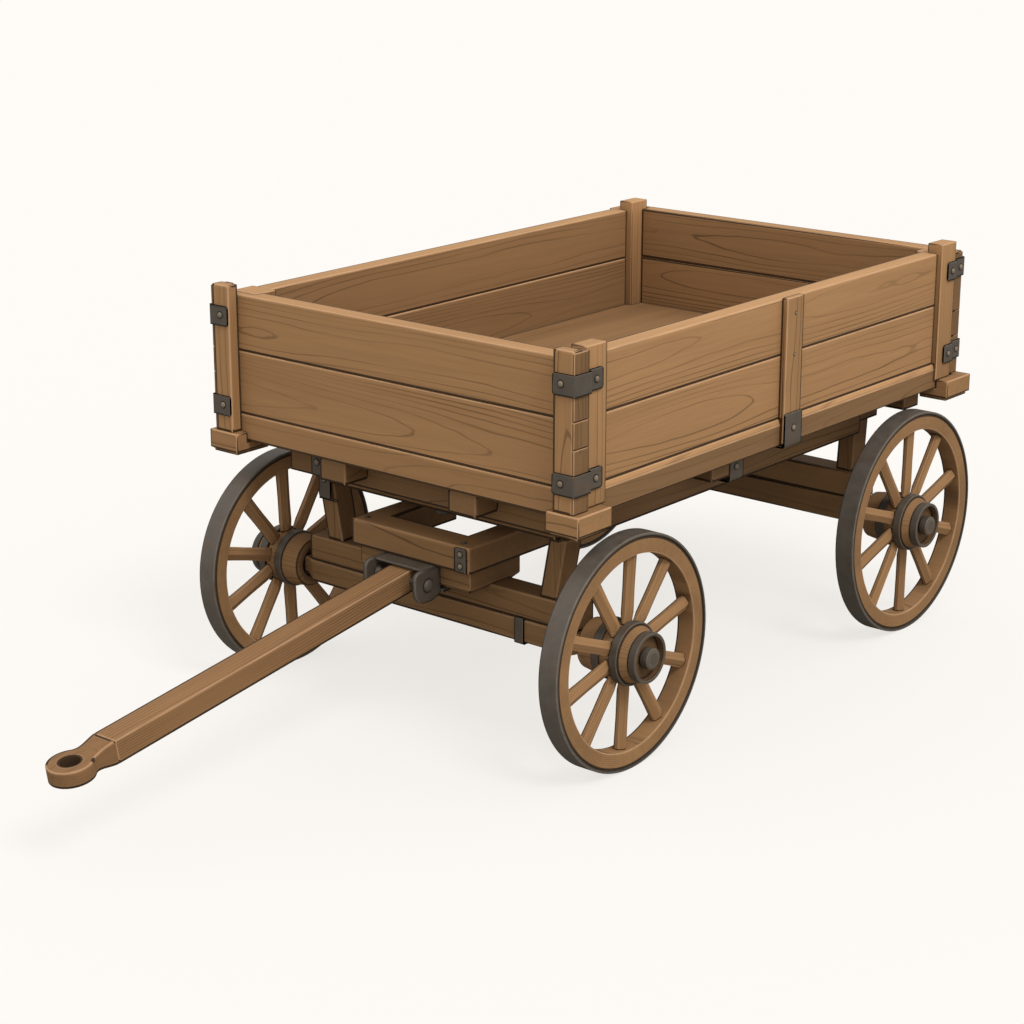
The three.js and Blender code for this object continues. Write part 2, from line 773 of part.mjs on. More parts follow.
// Clevis: two ears under a bridge, with a foot that runs back below the saddle block.
function addClevis() {
  const pivotX = frontAxlePlace - pivotPlace;
  const back = frontAxlePlace - saddleFront + seat;
  const top = houndsBottom - seat;
  const footTop = frontBedTop - saddleLip - seat;
  const outer = clevisWidth / 2;
  const tail = back - footLength;
  const outline = [
    [top, back],
    [footTop, back],
    [footTop, tail],
    [footTop - footThickness, tail],
    [footTop - footThickness, back],
    ...arc(pivotHeight, pivotX, earRadius, Math.PI, Math.PI / 2),
    [top, pivotX + earRadius],
  ];
  const ears = [
    pushed(outline, "y", [outer - earThickness, outer]),
    pushed(outline, "y", [-outer, earThickness - outer]),
  ];
  const bridge = box([back, pivotX + bridgeReach], [-outer, outer], [top - bridgeThickness, top]);
  const foot = box(
    [tail, back - seat],
    [-outer - footOverhang, outer + footOverhang],
    [footTop - footThickness, footTop],
  );
  const bore = rod(pinRadius + seat, [-outer - overrun, outer + overrun]).translate(pivotX, 0, pivotHeight);
  place(truck, "clevis", cut(join(ears[0], ears[1], bridge, foot), bore), iron);
  const pinReach = outer + seat + pinHeadHeight;
  const collarFrom = drawbarWidth / 2 + runningGap;
  const collarTo = outer - earThickness - seat;
  const half = [
    [pinRadius, collarFrom],
    [pinCollarRadius, collarFrom],
    [pinCollarRadius, collarTo],
    [pinRadius, collarTo],
    [pinRadius, outer + seat],
    [pinHeadRadius, outer + seat],
    [pinHeadRadius, pinReach],
    [0, pinReach],
  ];
  const profile = [...half.map(([r, y]) => [r, -y]).reverse(), ...half];
  place(truck, "clevis_pin", turned(profile, shaftFlats).translate(pivotX, 0, pivotHeight), iron);
}

// Drawbar, made along X from its pivot; its eye lies flat in the bar's thickness.
function addDrawbar() {
  const half = drawbarWidth / 2;
  const square = drawbarLength - eyeShoulder;
  const neck = square + eyeNeckLength;
  const open = Math.asin(eyeNeckWidth / 2 / eyeRadius);
  const plan = [
    [-drawbarHeel, -half],
    [square, -half],
    [neck, -eyeNeckWidth / 2],
    ...arc(drawbarLength, 0, eyeRadius, open - Math.PI, Math.PI - open, eyeFlats),
    [neck, eyeNeckWidth / 2],
    [square, half],
    [-drawbarHeel, half],
  ];
  const deep = drawbarThickness / 2;
  const thin = eyeThickness / 2;
  const end = drawbarLength + eyeRadius + overrun;
  const side = [
    [deep, -drawbarHeel - overrun],
    [deep, square],
    [thin, neck],
    [thin, end],
    [-thin, end],
    [-thin, neck],
    [-deep, square],
    [-deep, -drawbarHeel - overrun],
  ];
  const acrossEye = [-eyeRadius - overrun, eyeRadius + overrun];
  const bar = common(pushed(plan, "z", [-deep, deep]), pushed(side, "y", acrossEye));
  const pinHole = rod(pinRadius + runningGap, [-half - overrun, half + overrun]);
  const eyeHole = standingRod(eyeHoleRadius, [-deep - overrun, deep + overrun]);
  place(drawbarHinge, "drawbar", cut(bar, pinHole, eyeHole.translate(drawbarLength, 0, 0)), barWood);
}

// Wheels, made round the Y axis with the rim's middle plane at y = 0 and the nose towards +Y.
function hubProfile() {
  const bore = axleShaftRadius + runningGap;
  const innerBandEnd = -hubInnerBandSetback;
  const innerBandStart = innerBandEnd - hubBandWidth;
  const outerBandEnd = hubOuterBandSetback + hubBandWidth;
  const noseBandStart = hubOutboard - hubNoseBandWidth;
  return [
    [bore, hubEntryDepth - hubInboard],
    [hubEntryRadius, hubEntryDepth - hubInboard],
    [hubEntryRadius, -hubInboard],
    [hubEndRadius, -hubInboard],
    [hubBarrelRadius, innerBandStart],
    [hubInnerBandRadius, innerBandStart],
    [hubInnerBandRadius, innerBandEnd],
    [hubBarrelRadius, innerBandEnd],
    [hubBarrelRadius, hubOuterBandSetback],
    [hubOuterBandRadius, hubOuterBandSetback],
    [hubOuterBandRadius, outerBandEnd],
    [hubConeRadius, outerBandEnd],
    [hubNoseRadius, noseBandStart],
    [hubNoseBandRadius, noseBandStart],
    [hubNoseBandRadius, hubOutboard],
    [hubRecessRadius, hubOutboard],
    [hubRecessRadius, hubOutboard - hubRecessDepth],
    [bore, hubOutboard - hubRecessDepth],
  ];
}

function ring(inner, outer, width) {
  const half = width / 2;
  return turned([[inner, -half], [outer, -half], [outer, half], [inner, half]], rimFlats);
}

function spoke(from, to) {
  const outline = [
    [0, -spokeDepth / 2],
    [spokeWidth / 2, -spokeEdge / 2],
    [spokeWidth / 2, spokeEdge / 2],
    [0, spokeDepth / 2],
    [-spokeWidth / 2, spokeEdge / 2],
    [-spokeWidth / 2, -spokeEdge / 2],
  ];
  return pushed(outline, "z", [from, to]);
}

function wheelGeometries(radius, phase) {
  const rimOuter = radius - tyreThickness - seat;
  const rimInner = rimOuter - rimHeight;
  const pieces = [turned(hubProfile(), shaftFlats), ring(rimInner, rimOuter, rimWidth)];
  const spokeFrom = (hubBarrelRadius + axleShaftRadius) / 2;
  const spokeTo = rimInner + rimHeight / 2;
  for (let i = 0; i < spokeCount; i += 1) {
    pieces.push(spoke(spokeFrom, spokeTo).rotateY(phase + (i * 2 * Math.PI) / spokeCount));
  }
  return { wood: join(...pieces), tyre: ring(radius - tyreThickness, radius, tyreWidth) };
}

function addWheel(group, name, radius, side) {
  const { wood, tyre } = wheelGeometries(radius, spokePhases[name]);
  const mount = new THREE.Group();
  mount.position.set(0, side * halfTrack, radius);
  if (side < 0) mount.rotation.z = Math.PI;
  group.add(mount);
  place(mount, `${name}_wheel`, wood, wheelWood);
  place(mount, `${name}_tyre`, tyre, tyreIron);
}

function addWheels() {
  addWheel(truck, "front_left", frontWheelRadius, 1);
  addWheel(truck, "front_right", frontWheelRadius, -1);
  addWheel(rearGear, "rear_left", rearWheelRadius, 1);
  addWheel(rearGear, "rear_right", rearWheelRadius, -1);
}

addSills();
addBoards();
addFloor();
addCornerBlocks();
addPosts();
addStakes();
addJoists();
addCrossJoists();
addBolsters();
addLongerons();
addRearGear();
addTruckFrame();
addKingpin();
addSaddle();
addHounds();
addClevis();
addDrawbar();
addWheels();

// The origin goes under the middle of the whole cart, on the ground.
cart.updateMatrixWorld(true);
const reach = new THREE.Box3().setFromObject(cart, true);
cart.position.x = -(reach.min.x + reach.max.x) / 2;

export default cart;
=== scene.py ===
import json
import math
import random

import bmesh
import bpy
from mathutils import Matrix, Vector

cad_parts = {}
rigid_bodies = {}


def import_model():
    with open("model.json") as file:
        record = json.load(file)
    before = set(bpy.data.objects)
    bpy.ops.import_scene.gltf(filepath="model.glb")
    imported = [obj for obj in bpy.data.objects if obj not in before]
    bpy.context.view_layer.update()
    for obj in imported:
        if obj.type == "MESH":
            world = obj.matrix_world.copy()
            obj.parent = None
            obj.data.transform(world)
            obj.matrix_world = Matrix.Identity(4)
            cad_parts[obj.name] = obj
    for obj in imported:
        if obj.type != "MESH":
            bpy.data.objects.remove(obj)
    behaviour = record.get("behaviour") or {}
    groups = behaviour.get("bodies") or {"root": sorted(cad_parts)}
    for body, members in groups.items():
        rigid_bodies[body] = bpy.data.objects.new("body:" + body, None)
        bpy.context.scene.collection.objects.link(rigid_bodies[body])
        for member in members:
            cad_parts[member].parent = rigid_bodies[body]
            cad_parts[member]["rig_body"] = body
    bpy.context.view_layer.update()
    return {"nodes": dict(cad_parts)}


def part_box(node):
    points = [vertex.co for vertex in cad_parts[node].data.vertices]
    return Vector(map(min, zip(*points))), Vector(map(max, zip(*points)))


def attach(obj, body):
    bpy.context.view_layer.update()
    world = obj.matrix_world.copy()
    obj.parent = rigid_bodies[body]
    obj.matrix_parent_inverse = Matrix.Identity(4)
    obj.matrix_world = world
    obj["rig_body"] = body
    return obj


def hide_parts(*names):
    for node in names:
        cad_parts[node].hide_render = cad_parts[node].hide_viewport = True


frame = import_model()

MM = 0.001
WAYS = {"left": 1, "right": -1}

# Camera
CAMERA_PLACE = (2123.9, 1980.1, 1213.4)  # from the front face of the box, mm
CAMERA_LOOK = (-0.7319, -0.6128, -0.2981)
CAMERA_LENS = 81.64
CAMERA_SENSOR = 36.0
CAMERA_REACH = 100.0

# Light and floor
LAMP_WAY = (0.16, 0.62, 0.77)
LAMP_DISTANCE = 3
LAMP_STRENGTH = 1.45
LAMP_ANGLE = 20
LIGHT_COLOUR = (1.0, 0.97, 0.93)
FLOOR_RADIUS = 40.0
FLOOR_SEEN = (0.9, 0.89, 0.87, 1.0)  # its colour for the camera, and for the light that it gives back
FLOOR_BOUNCE = (0.3, 0.29, 0.27, 1.0)
FLOOR_GLOW = 0.95
FLOOR_GLOW_SHARE = 0.8

# Colours as they look in plain light
WOODS = {
    "side_wood": "#a17b54", "front_wood": "#9f7952", "floor_wood": "#8b6a48",
    "frame_wood": "#76593a", "truck_wood": "#7a5c3c", "wheel_wood": "#93704c",
}
DRAWBAR_WOOD = "#8b6846"
IRON = "#4f483f"
TYRE_IRON = "#575048"
BOLT_IRON = "#7d6f5c"
GROUND = "#fefbf7"

# Edges of pieces: width of the rounded arris and of the strip beside it, which carries the painted highlight
# and the painted shade line
ARRIS = 1.3 * MM
RIM = 3.6 * MM
IRON_ARRIS = 0.8 * MM
IRON_RIM = 2 * MM
IRON_EDGES = (IRON_ARRIS, IRON_RIM)
ARRIS_STEPS = 2
SHARP_ANGLE = math.radians(25)
# How much painted highlight and painted shade-line colour a point has, by half its edge level
HIGHLIGHT_STOPS = [(0.0, 0.0), (0.38, 0.1), (0.47, 1.0), (0.51, 1.0), (0.56, 0.0), (1.0, 0.0)]
SHADE_LINE_STOPS = [(0.0, 0.0), (0.55, 0.0), (0.64, 1.0), (1.0, 1.0)]

# Wood: each noise has its scales along the fibres, across and through them, and its detail
RING_BEND = ((1.8, 7.0, 7.0), 1.0)
RING_WOBBLE = ((9.0, 40.0, 40.0), 2.0)
RING_FADE = ((3.0, 16.0, 16.0), 2.0)
FIBRE = ((14.0, 620.0, 620.0), 3.0)
STREAK = ((4.0, 130.0, 130.0), 2.0)
TONE = ((1.4, 9.0, 9.0), 1.0)
WEAR = ((25.0, 60.0, 60.0), 2.0)
RING_SPACING = 2.5 * MM
BAR_RING_SPACING = 3.4 * MM
BEND_RINGS = 6.4  # how many rings the bend and the wobble move a line
WOBBLE_RINGS = 0.5
LINE_CORE = 0.25 * MM  # half width of a ring's line, and where it has faded
LINE_EDGE = 0.85 * MM
LEAST_SLOPE = 0.08
RING_DARK = 0.42
# Colour factors and share of the painted highlight and the painted shade line on wooden arrises
HIGHLIGHT_TONE = (1.6, 0.12)
SHADE_LINE_TONE = 0.11
WOOD_SHADE_LINE_SHARE = 0.9
WOOD_ROUGHNESS = (0.7, 0.84)
WOOD_SPECULAR = 0.2

# Iron: scales of its mottle, its fine grit, its patches and its rubbed places
MOTTLE = ((60.0, 60.0, 60.0), 4.0)
GRIT = ((420.0, 420.0, 420.0), 3.0)
PATCHES = ((26.0, 26.0, 26.0), 2.0)
RUBBED = ((90.0, 90.0, 90.0), 2.0)
RUST_COLOUR = "#6e4a2e"
RUST = 0.35
# Share and colour factor of the painted highlight on iron arrises
IRON_HIGHLIGHT_SHARE = 0.6
IRON_HIGHLIGHT_TONE = 2.4
IRON_METALLIC = 0.15
IRON_ROUGHNESS = (0.52, 0.7)


def linear(text):
    """A #rrggbb colour as linear red, green, blue and alpha."""
    values = [int(text[i : i + 2], 16) / 255 for i in (1, 3, 5)]
    return [v / 12.92 if v <= 0.04045 else ((v + 0.055) / 1.055) ** 2.4 for v in values] + [1.0]


def toned(text, factor, pale=0.0):
    """The colour made darker or lighter by a factor on its linear values, and paler by a share of its red."""
    values = linear(text)[:3]
    return [min(1.0, (v + (values[0] - v) * pale) * factor) for v in values] + [1.0]


front_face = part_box("front_sill")[1].x
rear_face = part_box("rear_sill")[0].x


def at(x, y, z):
    """A point given in millimetres from the front face of the box."""
    return Vector((front_face + x * MM, y * MM, z * MM))


class Graph:
    """The node tree of a material or a world, and short ways to add nodes."""

    def __init__(self, owner):
        owner.use_nodes = True
        self.tree = owner.node_tree
        self.tree.nodes.clear()

    def node(self, kind, inputs=(), **settings):
        made = self.tree.nodes.new(kind)
        for key, value in settings.items():
            setattr(made, key, value)
        for key, value in dict(inputs).items():
            self.put(made.inputs[key], value)
        return made

    def put(self, socket, value):
        if isinstance(value, bpy.types.NodeSocket):
            self.tree.links.new(value, socket)
        else:
            socket.default_value = value

    def attribute(self, name, output):
        return self.node("ShaderNodeAttribute", attribute_name=name).outputs[output]

    def math(self, operation, first, second=0.0):
        made = self.node("ShaderNodeMath", operation=operation)
        self.put(made.inputs[0], first)
        self.put(made.inputs[1], second)
        return made.outputs[0]

    def times(self, first, second):
        return self.math("MULTIPLY", first, second)

    def scaled(self, vector, scale):
        made = self.node("ShaderNodeVectorMath", operation="MULTIPLY")
        self.put(made.inputs[0], vector)
        self.put(made.inputs[1], scale)
        return made.outputs[0]

    def noise(self, vector, kind):
        scale, detail = kind
        inputs = {"Vector": self.scaled(vector, scale), "Scale": 1.0, "Detail": detail}
        return self.node("ShaderNodeTexNoise", inputs).outputs["Fac"]

    def span(self, value, low, high, to_low=0.0, to_high=1.0):
        names = ("Value", "From Min", "From Max", "To Min", "To Max")
        values = (value, low, high, to_low, to_high)
        return self.node("ShaderNodeMapRange", zip(names, values)).outputs["Result"]

    def ramp(self, value, stops):
        made = self.node("ShaderNodeValToRGB", {"Fac": value})
        elements = made.color_ramp.elements
        for place, _ in stops[1:-1]:
            elements.new(place)
        for element, (place, level) in zip(elements, stops):
            element.position = place
            element.color = (level, level, level, 1.0)
        return made.outputs["Color"]

    def mix(self, factor, first, second, blend="MIX"):
        made = self.node("ShaderNodeMix", data_type="RGBA", blend_type=blend)
        for socket, value in zip((made.inputs[0], made.inputs[6], made.inputs[7]), (factor, first, second)):
            self.put(socket, value)
        return made.outputs[2]

    def blend(self, factor, first, second):
        made = self.node("ShaderNodeMixShader", {"Fac": factor})
        self.put(made.inputs[1], first)
        self.put(made.inputs[2], second)
        return made.outputs[0]

    def show(self, shader, kind="ShaderNodeOutputMaterial"):
        self.node(kind, {"Surface": shader})


def wood(name, base, spacing=RING_SPACING, lines=0.8, highlight_share=0.8):
    """Planed wood: thin growth-ring lines, fine fibres, slow changes of tone, and along its arrises a painted
    highlight, patchy like wear, on those that face the light and a painted shade line on the others.
    The grain attribute holds each point's place in its own timber: x along the fibres, rings about x."""
    material = bpy.data.materials.new(name)
    g = Graph(material)
    grain = g.attribute("grain", "Vector")
    half_edge = g.times(g.attribute("edge", "Fac"), 0.5)
    parts = g.node("ShaderNodeSeparateXYZ", {"Vector": grain})
    square_y = g.times(parts.outputs["Y"], parts.outputs["Y"])
    square_z = g.times(parts.outputs["Z"], parts.outputs["Z"])
    radius = g.math("SQRT", g.math("ADD", square_y, square_z))
    rings = g.math("DIVIDE", radius, spacing)
    rings = g.math("ADD", rings, g.times(g.noise(grain, RING_BEND), BEND_RINGS))
    rings = g.math("ADD", rings, g.times(g.noise(grain, RING_WOBBLE), WOBBLE_RINGS))
    centred = g.math("ABSOLUTE", g.math("SUBTRACT", g.math("FRACT", rings), 0.5))
    slope = g.math("DIVIDE", g.math("ABSOLUTE", parts.outputs["Y"]), radius)
    away = g.math("DIVIDE", g.times(centred, spacing), g.math("ADD", slope, LEAST_SLOPE))
    line = g.span(away, LINE_CORE, LINE_EDGE, 1.0, 0.0)
    line = g.times(line, g.span(g.noise(grain, RING_FADE), 0.4, 0.6, 0.3, 1.0))
    fibre = g.noise(grain, FIBRE)

    colour = g.mix(g.times(line, lines), linear(base), toned(base, RING_DARK))
    shade = g.span(fibre, 0.3, 0.7, 0.94, 1.05)
    shade = g.times(shade, g.span(g.noise(grain, STREAK), 0.3, 0.7, 0.95, 1.05))
    shade = g.times(shade, g.span(g.noise(grain, TONE), 0.3, 0.7, 0.93, 1.07))
    # The tone attribute adds random tone and, by place, painted shade and painted light
    shade = g.times(shade, g.math("ADD", g.attribute("tone", "Fac"), 1.0))
    grey = g.node("ShaderNodeCombineXYZ", {"X": shade, "Y": shade, "Z": shade}).outputs[0]
    colour = g.mix(1.0, colour, grey, "MULTIPLY")

    # Painted highlight on arrises that face the light, patchy like wear
    wear = g.span(g.noise(grain, WEAR), 0.3, 0.7, 0.6, 1.0)
    bright = g.times(g.times(g.ramp(half_edge, HIGHLIGHT_STOPS), wear), highlight_share)
    colour = g.mix(bright, colour, toned(base, *HIGHLIGHT_TONE))
    # Painted shade line on arrises that face away from the light
    shade_line_mask = g.times(g.ramp(half_edge, SHADE_LINE_STOPS), WOOD_SHADE_LINE_SHARE)
    colour = g.mix(shade_line_mask, colour, toned(base, SHADE_LINE_TONE))

    height = g.math("SUBTRACT", g.times(fibre, 0.35), g.times(line, 0.6))
    bump = g.node("ShaderNodeBump", {"Strength": 0.35, "Distance": 0.4 * MM, "Height": height})
    surface = g.node("ShaderNodeBsdfPrincipled", {
        "Base Color": colour,
        "Roughness": g.span(fibre, 0.2, 0.8, *WOOD_ROUGHNESS),
        "Specular IOR Level": WOOD_SPECULAR,
        "Normal": bump.outputs["Normal"],
    })
    g.show(surface.outputs["BSDF"])
    return material


def metal(name, base, shade_line_share=0.8, dark=0.18):
    """Forged iron: mottled scale, faint rust, a painted highlight on arrises that face the light, patchy
    where rubbed, and a painted shade line on the others.
    """
    material = bpy.data.materials.new(name)
    g = Graph(material)
    place = g.node("ShaderNodeTexCoord").outputs["Object"]
    half_edge = g.times(g.attribute("edge", "Fac"), 0.5)
    mottle = g.noise(place, MOTTLE)
    grit = g.noise(place, GRIT)
    colour = g.mix(g.span(mottle, 0.3, 0.7), toned(base, 0.84), toned(base, 1.16))
    colour = g.mix(g.span(grit, 0.4, 0.75, 0.0, 0.3), colour, toned(base, 1.35))
    spots = g.times(g.span(g.noise(place, PATCHES), 0.56, 0.7), g.span(grit, 0.35, 0.6))
    colour = g.mix(g.times(spots, RUST), colour, linear(RUST_COLOUR))
    rubbed = g.span(g.noise(place, RUBBED), 0.3, 0.7, 0.4, 1.0)
    # Painted highlight on iron arrises that face the light, patchy where rubbed
    bright = g.times(g.times(g.ramp(half_edge, HIGHLIGHT_STOPS), rubbed), IRON_HIGHLIGHT_SHARE)
    colour = g.mix(bright, colour, toned(base, IRON_HIGHLIGHT_TONE))
    # Painted shade line on arrises that face away from the light
    shade_line_mask = g.times(g.ramp(half_edge, SHADE_LINE_STOPS), shade_line_share)
    colour = g.mix(shade_line_mask, colour, toned(base, dark))
    bump = g.node("ShaderNodeBump", {"Strength": 0.3, "Distance": 0.3 * MM, "Height": mottle})
    surface = g.node("ShaderNodeBsdfPrincipled", {
        "Base Color": colour,
        "Metallic": IRON_METALLIC,
        "Roughness": g.span(mottle, 0.3, 0.7, *IRON_ROUGHNESS),
        "Normal": bump.outputs["Normal"],
    })
    g.show(surface.outputs["BSDF"])
    return material


finishes = {name: wood(name, base) for name, base in WOODS.items()}
finishes["drawbar_wood"] = wood("drawbar_wood", DRAWBAR_WOOD, BAR_RING_SPACING, 0.7, 1.0)
finishes["iron"] = metal("iron", IRON)
finishes["tyre_iron"] = metal("tyre_iron", TYRE_IRON)
finishes["bolt_iron"] = metal("bolt_iron", BOLT_IRON, shade_line_share=1.0, dark=0.05)


# Mesh helpers. Points carry three attributes: edge is 2 or more on an arris with a painted shade line, 1 on
# one with a painted highlight and 0 on the open face; grain is the place in the timber; tone darkens or
# lightens, by chance and by place as painted shade and painted light. While a mesh is made, its arrises carry
# raw levels for their middles and their sides.
RAW_MIDDLE, RAW_SIDE = 6.0, 5.0
DARK = 3.4  # the painted shade line is wider than the arris, and at the plain dark level as wide as it
# PLAIN_DARK gives the same dark colour to joint lines, and as painted shade round holes and bolt heads;
# BRIGHT is the level of a painted highlight
PLAIN_DARK = 2.0
BRIGHT = 1.0
CORNER_REACH = 0.6 * MM
# Arrises that face this way, back along the camera's view, get a painted highlight
HIGHLIGHT_WAY = Vector((0.73, 0.61, 0.3))
LIT_SHARE = 0.4
BACK_SHARE = -0.6
LEVEL_SHARE = 0.2
STRIP_SHARE = 0.22  # widest strip beside an arris, as a share of the face's size
GRAIN_LENGTH = 40.0
GRAIN_SPREAD = 0.022
GRAIN_DEPTH = 0.07
THIN_GRAIN_DEPTH = 0.03
WELD = 0.01 * MM
FLATNESS = math.radians(0.6)
SMOOTH_ANGLE = math.radians(40)


def new_mesh():
    bm = bmesh.new()
    bm.verts.layers.float.new("edge")
    bm.verts.layers.float.new("tone")
    bm.verts.layers.float_vector.new("grain")
    return bm


def layers_of(bm):
    """The layers of edge levels, tones and grain."""
    layers = bm.verts.layers
    return layers.float["edge"], layers.float["tone"], layers.float_vector["grain"]


def skin(bm, rows, closed=False):
    """Faces between each row of points and the next; every row is a ring."""
    for low, high in zip(rows, rows[1:] + (rows[:1] if closed else [])):
        for k in range(len(low)):
            j = (k + 1) % len(low)
            bm.faces.new((low[k], low[j], high[j], high[k]))


def smooth_regions(faces, limit):
    """Groups of faces that meet at less than the limit angle."""
    left = set(faces)
    groups = []
    while left:
        first = left.pop()
        group, open_faces = [first], [first]
        while open_faces:
            face = open_faces.pop()
            for e in face.edges:
                if len(e.link_faces) != 2 or e.calc_face_angle(math.pi) > limit:
                    continue
                for other in e.link_faces:
                    if other in left:
                        left.remove(other)
                        group.append(other)
                        open_faces.append(other)
        groups.append(group)
    return groups


def dress_edges(bm, arris=ARRIS, rim=RIM, limit=SHARP_ANGLE):
    """Rounds the outward edges, and lays a narrow strip along them on the faces beside."""
    edge_layer = bm.verts.layers.float["edge"]
    sharp = [e for e in bm.edges if len(e.link_faces) == 2 and e.calc_face_angle(0.0) > limit and e.is_convex]
    made = bmesh.ops.bevel(
        bm, geom=sharp, offset=arris, offset_type="OFFSET", segments=ARRIS_STEPS, profile=0.5,
        affect="EDGES", clamp_overlap=True,
    )
    for f in bm.faces:
        f.material_index = 0
    for f in made["faces"]:
        f.material_index = 1
    flats = [f for f in bm.faces if f.material_index == 0]
    for group in smooth_regions(flats, limit):
        width = min(rim, STRIP_SHARE * math.sqrt(sum(f.calc_area() for f in group)))
        bmesh.ops.inset_region(bm, faces=group, thickness=width, use_boundary=True, use_even_offset=True)
    split_near_ends(bm, arris + rim + CORNER_REACH)
    for v in bm.verts:
        on_arris = [f.material_index == 1 for f in v.link_faces]
        v[edge_layer] = RAW_MIDDLE if all(on_arris) else RAW_SIDE if any(on_arris) else 0.0
    for f in bm.faces:
        f.material_index = 0


def split_near_ends(bm, reach):
    """Cuts across the mesh near its ends, so that each arris keeps its own level nearly up to its corners."""
    for axis in range(3):
        places = [v.co[axis] for v in bm.verts]
        low, high = min(places), max(places)
        if high - low < 4 * reach:
            continue
        normal = Vector([float(i == axis) for i in range(3)])
        for place in (low + reach, high - reach):
            geometry = bm.verts[:] + bm.edges[:] + bm.faces[:]
            bmesh.ops.bisect_plane(bm, geom=geometry, plane_co=normal * place, plane_no=normal)


def is_lit(normal):
    """Whether an arris that faces this way gets a painted highlight; the others get a painted shade line."""
    share = normal.dot(HIGHLIGHT_WAY)
    return share > LIT_SHARE or (abs(normal.z) < LEVEL_SHARE and share < BACK_SHARE)


def settle_arrises(bm):
    """Turns the raw levels of arrises into 1, a painted highlight, or the dark level, a painted shade line.
    """
    edge_layer = bm.verts.layers.float["edge"]
    bm.normal_update()
    middles = {v for v in bm.verts if v[edge_layer] > (RAW_MIDDLE + RAW_SIDE) / 2}
    sides = [v for v in bm.verts if v not in middles and v[edge_layer] > (RAW_SIDE + DARK) / 2]
    lit = {v for v in middles if is_lit(v.normal)}
    for v in sides:
        near = [n for n in (e.other_vert(v) for e in v.link_edges) if n in middles]
        bright = all(n in lit for n in near) if near else is_lit(v.normal)
        v[edge_layer] = BRIGHT if bright else DARK
    for v in middles:
        v[edge_layer] = BRIGHT if v in lit else DARK


def lay_grain(bm, order, name, shade=0.0, depth=GRAIN_DEPTH):
    """Fills the grain attribute. The order names the axes along the fibres, across the face and through it.
    The shade darkens or lightens the timber, by place also as painted shade and painted light: a number, or a
    number for each point."""
    _, tone_layer, grain_layer = layers_of(bm)
    draw = random.Random(name)
    axes = ["xyz".index(letter) for letter in order]
    low = Vector([min(v.co[i] for v in bm.verts) for i in range(3)])
    high = Vector([max(v.co[i] for v in bm.verts) for i in range(3)])
    middle = (low + high) / 2
    start = draw.uniform(0.0, GRAIN_LENGTH)
    across = draw.uniform(-GRAIN_SPREAD, GRAIN_SPREAD)
    deep = depth + draw.uniform(-0.015, 0.02)
    tone = draw.uniform(-0.04, 0.04)
    for v in bm.verts:
        own = v.co - middle
        v[grain_layer] = (own[axes[0]] + start, own[axes[1]] + across, own[axes[2]] + deep)
        v[tone_layer] = tone + (shade(v.co) if callable(shade) else shade)


def finished(name, bm, body, finish, replaced=(), sharp=SMOOTH_ANGLE):
    """Turns the mesh into a piece with its material, and lets it ride on its body."""
    bmesh.ops.recalc_face_normals(bm, faces=bm.faces)
    settle_arrises(bm)
    mesh = bpy.data.meshes.new(name)
    bm.to_mesh(mesh)
    bm.free()
    mesh.shade_smooth()
    mesh.set_sharp_from_angle(angle=sharp)
    mesh.materials.append(finishes[finish])
    piece = linked(name, mesh)
    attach(piece, body)
    "iron" if finish == "bolt_iron" else finish
    if replaced:
        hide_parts(*replaced)


def linked(name, data):
    made = bpy.data.objects.new(name, data)
    bpy.context.scene.collection.objects.link(made)
    return made


def body_of(node):
    return frame["nodes"][node]["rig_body"]


def node_mesh(node):
    """The node's solid as an editable mesh with its flat faces made whole."""
    bm = new_mesh()
    bm.from_mesh(frame["nodes"][node].data)
    bmesh.ops.remove_doubles(bm, verts=bm.verts, dist=WELD)
    bmesh.ops.dissolve_limit(bm, angle_limit=FLATNESS, verts=bm.verts, edges=bm.edges)
    return bm


def cut_away(bm, place, normal):
    """Takes off what lies beyond the plane, and closes the mesh there."""
    geometry = bm.verts[:] + bm.edges[:] + bm.faces[:]
    cut = bmesh.ops.bisect_plane(bm, geom=geometry, plane_co=place, plane_no=normal, clear_outer=True)
    bmesh.ops.holes_fill(bm, edges=[e for e in cut["geom_cut"] if isinstance(e, bmesh.types.BMEdge)])


def timber(node, order, finish, shade=0.0, arris=ARRIS, rim=RIM, planes=(), limit=SHARP_ANGLE):
    """A wooden piece in the place of a node, with rounded edges that carry painted highlights and painted
    shade lines, and its own grain.
    """
    bm = node_mesh(node)
    for place, normal in planes:
        cut_away(bm, place, normal)
    dress_edges(bm, arris, rim, limit=limit)
    lay_grain(bm, order, node, shade)
    finished("fine_" + node, bm, body_of(node), finish, [node])


# Turned pieces
CUT_SHARE = 0.28  # most of a side that an arris, and the strip beside it, may take
BAND_SHARE = 0.48
CORNER_SHARE = 0.3  # of a cut corner, how far its middle lies in


def edged_profile(points, arris, rim, closed, bright=()):
    """A profile of (radius, height) points with each corner cut: (radius, height, edge) points.
    The arrises of the corners named in bright get a painted highlight, the others a painted shade line."""
    flat = [Vector(p) for p in points]
    count = len(flat)
    result = []
    for i, here in enumerate(flat):
        if not closed and i in (0, count - 1):
            result.append((here.x, here.y, 0.0))
            continue
        back, ahead = flat[i - 1] - here, flat[(i + 1) % count] - here
        near = min(back.length, ahead.length)
        cut = min(arris, CUT_SHARE * near)
        strip = min(arris + rim, BAND_SHARE * near)
        tint = BRIGHT if i in bright else DARK
        back, ahead = back.normalized(), ahead.normalized()
        steps = (
            (back * strip, 0.0), (back * cut, tint), ((back + ahead) * cut * CORNER_SHARE, tint),
            (ahead * cut, tint), (ahead * strip, 0.0),
        )
        result += [(*(here + step), level) for step, level in steps]
    return result


